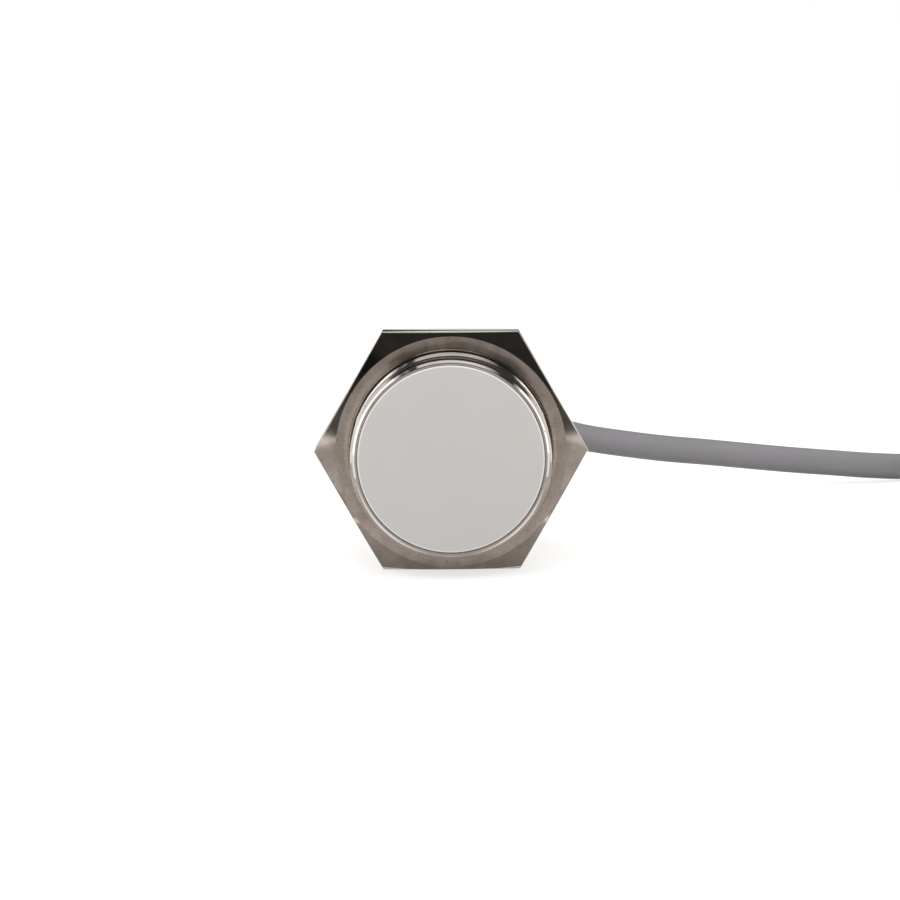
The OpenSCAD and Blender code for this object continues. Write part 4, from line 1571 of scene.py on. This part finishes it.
@dataclass
class Studio:
    """The plain pale table, and the soft light round it."""

    table: float = -18.08
    table_size: float = 8000.0
    # Light that the table adds where it is seen, so that it shows white and keeps the soft shadow
    table_lift: float = 0.65
    paper: str = "#B4B3B1"
    white: str = "#FFFFFF"
    # The side lamps stand 5 mm above the table, and only these two are mirrored
    lamps: tuple[Softbox, ...] = (
        Softbox("left_softbox", (-620.0, 0.0, 396.92), (300.0, 820.0), 0.8),
        Softbox("right_softbox", (620.0, 0.0, 266.92), (300.0, 560.0), 0.8),
        Softbox(
            "front_softbox", (-150.0, -1900.0, 1250.0), (1000.0, 1000.0), 8.0,
            aim=(30.0, 60.0, 0.0), mirrored=False,
        ),
        Softbox(
            "cable_lamp", (-60.0, -900.0, 520.0), (60.0, 60.0), 2.0,
            aim=(125.0, 170.0, -14.0), grid=9.0, mirrored=False,
        ),
    )
    # The room's walls by the direction they are seen in: dim in front and bright behind the sensor
    wall: Ramp = (-0.35, 0.25, 0.1, 1.0)
    wall_top: Ramp = (0.12, 0.3, 1.0, 0.07)
    # White side walls, which end before the front
    sides_middle: float = 0.075
    sides: tuple[float, float] = (0.6, 0.66)
    sides_end: Ramp = (-0.78, -0.66, 0.0, 1.0)
    # The white ceiling, with a dark gap on the left
    ceiling: Ramp = (0.84, 0.95, 0.035, 1.05)
    gap_middle: float = -0.41
    gap: Ramp = (0.035, 0.055, 0.1, 1.0)
    # The room's light on matte surfaces, from the floor to the ceiling
    even: Ramp = (-1.0, 1.0, 0.2, 1.1)

    def build(self) -> None:
        """Make the table, the surroundings, the lamps and the card that carries a painted reflection."""
        self.make_table()
        self.make_surroundings()
        for lamp in self.lamps:
            lamp.build()
        PaintedReflectionCard(self.table).build()

    def make_table(self) -> None:
        """Lay the white table, which keeps the sensor's soft shadow."""
        deselect()
        bpy.ops.mesh.primitive_plane_add(
            size=self.table_size * MM, location=(0, 0, self.table * MM)
        )
        table = bpy.context.active_object
        table.name = "table"
        freeze(table)
        paper = bpy.data.materials.new("white_paper")
        tree = empty_tree(paper)
        ray = add_node(tree, "ShaderNodeLightPath").outputs
        seen = add_node(
            tree, "ShaderNodeMath", (ray["Is Camera Ray"], ray["Is Glossy Ray"]), operation="ADD"
        )
        shown = add_node(
            tree, "ShaderNodeMath", (seen, ray["Is Transmission Ray"]), operation="ADD",
            use_clamp=True,
        )
        lift = add_node(tree, "ShaderNodeMath", (shown, self.table_lift), operation="MULTIPLY")
        plain = add_node(tree, "ShaderNodeBsdfDiffuse", {"Color": linear(self.paper)})
        light = add_node(
            tree, "ShaderNodeEmission", {"Color": linear(self.white), "Strength": lift}
        )
        both = add_node(tree, "ShaderNodeAddShader", (plain, light))
        add_node(tree, "ShaderNodeOutputMaterial", {"Surface": both})
        table.data.materials.append(paper)

    def make_surroundings(self) -> None:
        """Give the room its light, which only mirrors show in full."""
        world = bpy.data.worlds.new("studio")
        bpy.context.scene.world = world
        tree = empty_tree(world)
        way = add_node(tree, "ShaderNodeTexCoord").outputs["Generated"]
        x, y, z = add_node(tree, "ShaderNodeSeparateXYZ", (way,)).outputs
        behind = add_node(tree, "ShaderNodeMapRange", (y, *self.wall))
        overhead = add_node(tree, "ShaderNodeMapRange", (z, *self.wall_top))
        wall = add_node(tree, "ShaderNodeMath", (behind, overhead), operation="MULTIPLY")
        ceiling = add_node(tree, "ShaderNodeMapRange", (z, *self.ceiling))
        off_gap = away_from(tree, x, self.gap_middle)
        gap = add_node(tree, "ShaderNodeMapRange", (off_gap, *self.gap))
        striped = add_node(tree, "ShaderNodeMath", (ceiling, gap), operation="MULTIPLY")
        aside = away_from(tree, x, self.sides_middle)
        not_front = add_node(tree, "ShaderNodeMapRange", (y, *self.sides_end))
        side_walls = add_node(tree, "ShaderNodeMapRange", (aside, *self.sides, 0.0, not_front))
        walls = add_node(tree, "ShaderNodeMath", (wall, side_walls), operation="MAXIMUM")
        room = add_node(tree, "ShaderNodeMath", (walls, striped), operation="MAXIMUM")
        even = add_node(tree, "ShaderNodeMapRange", (z, *self.even))
        ray = add_node(tree, "ShaderNodeLightPath").outputs
        level = add_node(tree, "ShaderNodeMix", {0: ray["Is Diffuse Ray"], 2: room, 3: even})
        seen = add_node(
            tree, "ShaderNodeMath", (ray["Is Camera Ray"], ray["Is Transmission Ray"]),
            operation="ADD", use_clamp=True,
        )
        shown = add_node(tree, "ShaderNodeMix", {0: seen, 2: level, 3: 1.0})
        light = add_node(
            tree, "ShaderNodeBackground", {"Color": linear(self.white), "Strength": shown}
        )
        add_node(tree, "ShaderNodeOutputWorld", {"Surface": light})


@dataclass
class PaintedReflectionCard:
    """A folded card before and under the nose that glows brown-grey and only the plating mirrors: a
    painted reflection of the shaded table and the dim room in front.
    """

    table: float
    lift: float = 0.04
    width: float = 140.0
    top: float = 12.0
    front: float = -20.0
    back: float = 15.8
    height: float = 44.0
    # Colour and strength of the glow that paints the reflection
    tone: str = "#AEA9A8"
    level: float = 0.86
    # Painted highlight: the card is brighter away from its middle, and this fades upwards
    sides: Ramp = (4.0, 16.0, 0.0, 0.36)
    rise: Ramp = (1.0, 9.0, 1.0, 0.3)
    # Painted highlight at the foot of its upright half, and the thickness of that half
    fold_highlight: Ramp = (-16.0, -6.0, 0.4, 0.0)
    upright: float = 1.0
    # Painted highlight, a bright seam under the lip: its place, where it fades, and its glare away from
    # the middle
    seam_y: float = 1.0
    seam_highlight: tuple[float, float] = (0.7, 1.3)
    glare: Ramp = (4.0, 14.0, 0.5, 2.0)
    # Painted shadow: how the card darkens towards the nut
    shade: Ramp = (0.0, 15.0, 1.0, 0.7)

    def build(self) -> Object:
        """Fold the card and set it before and under the nose.

        Returns:
            The card.
        """
        deselect()
        bpy.ops.mesh.primitive_plane_add(
            size=MM, location=(0, 0, (self.table + self.lift) * MM)
        )
        card = bpy.context.active_object
        card.name = "painted_reflection_card"
        freeze(card)
        for vertex in card.data.vertices:
            vertex.co.x = math.copysign(self.width / 2 * MM, vertex.co.x)
            vertex.co.y = (self.back if vertex.co.y > 0 else self.front) * MM
        front = {v.index for v in card.data.vertices if v.co.y < 0}
        for vertex in card.data.vertices:
            vertex.select = vertex.index in front
        for edge in card.data.edges:
            edge.select = set(edge.vertices) == front
        for face in card.data.polygons:
            face.select = False
        bpy.ops.object.mode_set(mode="EDIT")
        bpy.ops.mesh.extrude_region_move(
            TRANSFORM_OT_translate={"value": (0, 0, self.height * MM)}
        )
        bpy.ops.object.mode_set(mode="OBJECT")
        for vertex in card.data.vertices:
            if vertex.co.z > 0:
                vertex.co.x *= self.top / self.width
        card.data.materials.append(self.material())
        card.visible_camera = False
        card.visible_diffuse = False
        card.visible_shadow = False
        card.visible_transmission = False
        return card

    def material(self) -> bpy.types.Material:
        """Make the card's material, a glow that paints the reflection, with painted highlights and a
        painted shadow.

        Returns:
            The material.
        """
        board = bpy.data.materials.new("painted_reflection_glow")
        tree = empty_tree(board)
        place = add_node(tree, "ShaderNodeTexCoord").outputs["Object"]
        x, y, z = add_node(tree, "ShaderNodeSeparateXYZ", (place,)).outputs
        aside = add_node(tree, "ShaderNodeMath", (x,), operation="ABSOLUTE")
        sideways = add_node(tree, "ShaderNodeMapRange", (aside, *from_mm(self.sides)))
        low = add_node(tree, "ShaderNodeMapRange", (z, *from_mm(self.rise)))
        plain = add_node(
            tree, "ShaderNodeMath", (sideways, low, self.level), operation="MULTIPLY_ADD"
        )
        fold_highlight = add_node(tree, "ShaderNodeMapRange", (z, *from_mm(self.fold_highlight)))
        ends = from_mm((self.front, self.front + self.upright, 1.0, 0.0))
        upright = add_node(tree, "ShaderNodeMapRange", (y, *ends))
        lit = add_node(tree, "ShaderNodeMath", (fold_highlight, upright, plain), operation="MULTIPLY_ADD")
        glare = add_node(tree, "ShaderNodeMapRange", (aside, *from_mm(self.glare)))
        off_seam = away_from(tree, y, self.seam_y * MM)
        span = (end * MM for end in self.seam_highlight)
        seam_highlight = add_node(tree, "ShaderNodeMapRange", (off_seam, *span, glare, 0.0))
        bright = add_node(tree, "ShaderNodeMath", (lit, seam_highlight), operation="ADD")
        shade = add_node(tree, "ShaderNodeMapRange", (y, *from_mm(self.shade)))
        level = add_node(tree, "ShaderNodeMath", (bright, shade), operation="MULTIPLY")
        light = add_node(
            tree, "ShaderNodeEmission", {"Color": linear(self.tone), "Strength": level}
        )
        add_node(tree, "ShaderNodeOutputMaterial", {"Surface": light})
        return board


def main() -> None:
    """Build the scene: camera and cable first, then the sensor's pieces and the studio."""
    logging.basicConfig(level=logging.INFO, format="%(message)s")
    PhotographCamera().build()
    made = CableRun().build()
    made.append(HexNut("nut_front", "front_nut", "front_nut", 15.5).build())
    made.append(HexNut("nut_rear", "rear_nut", "rear_nut", 22.5, turn=0.35).build())
    made.append(ThreadedBarrel().build())
    made.append(SensingCap().build())
    made.append(Winding().build())
    made.extend(InnerCores().build())
    made.extend(PackedPieces().build())
    for piece in made:
        LOG.info("piece %s of %s", piece.name, piece.material_slots[0].material.name)
    Studio().build()
    bpy.context.scene.view_settings.view_transform = "Standard"


if __name__ == "__main__":
    main()
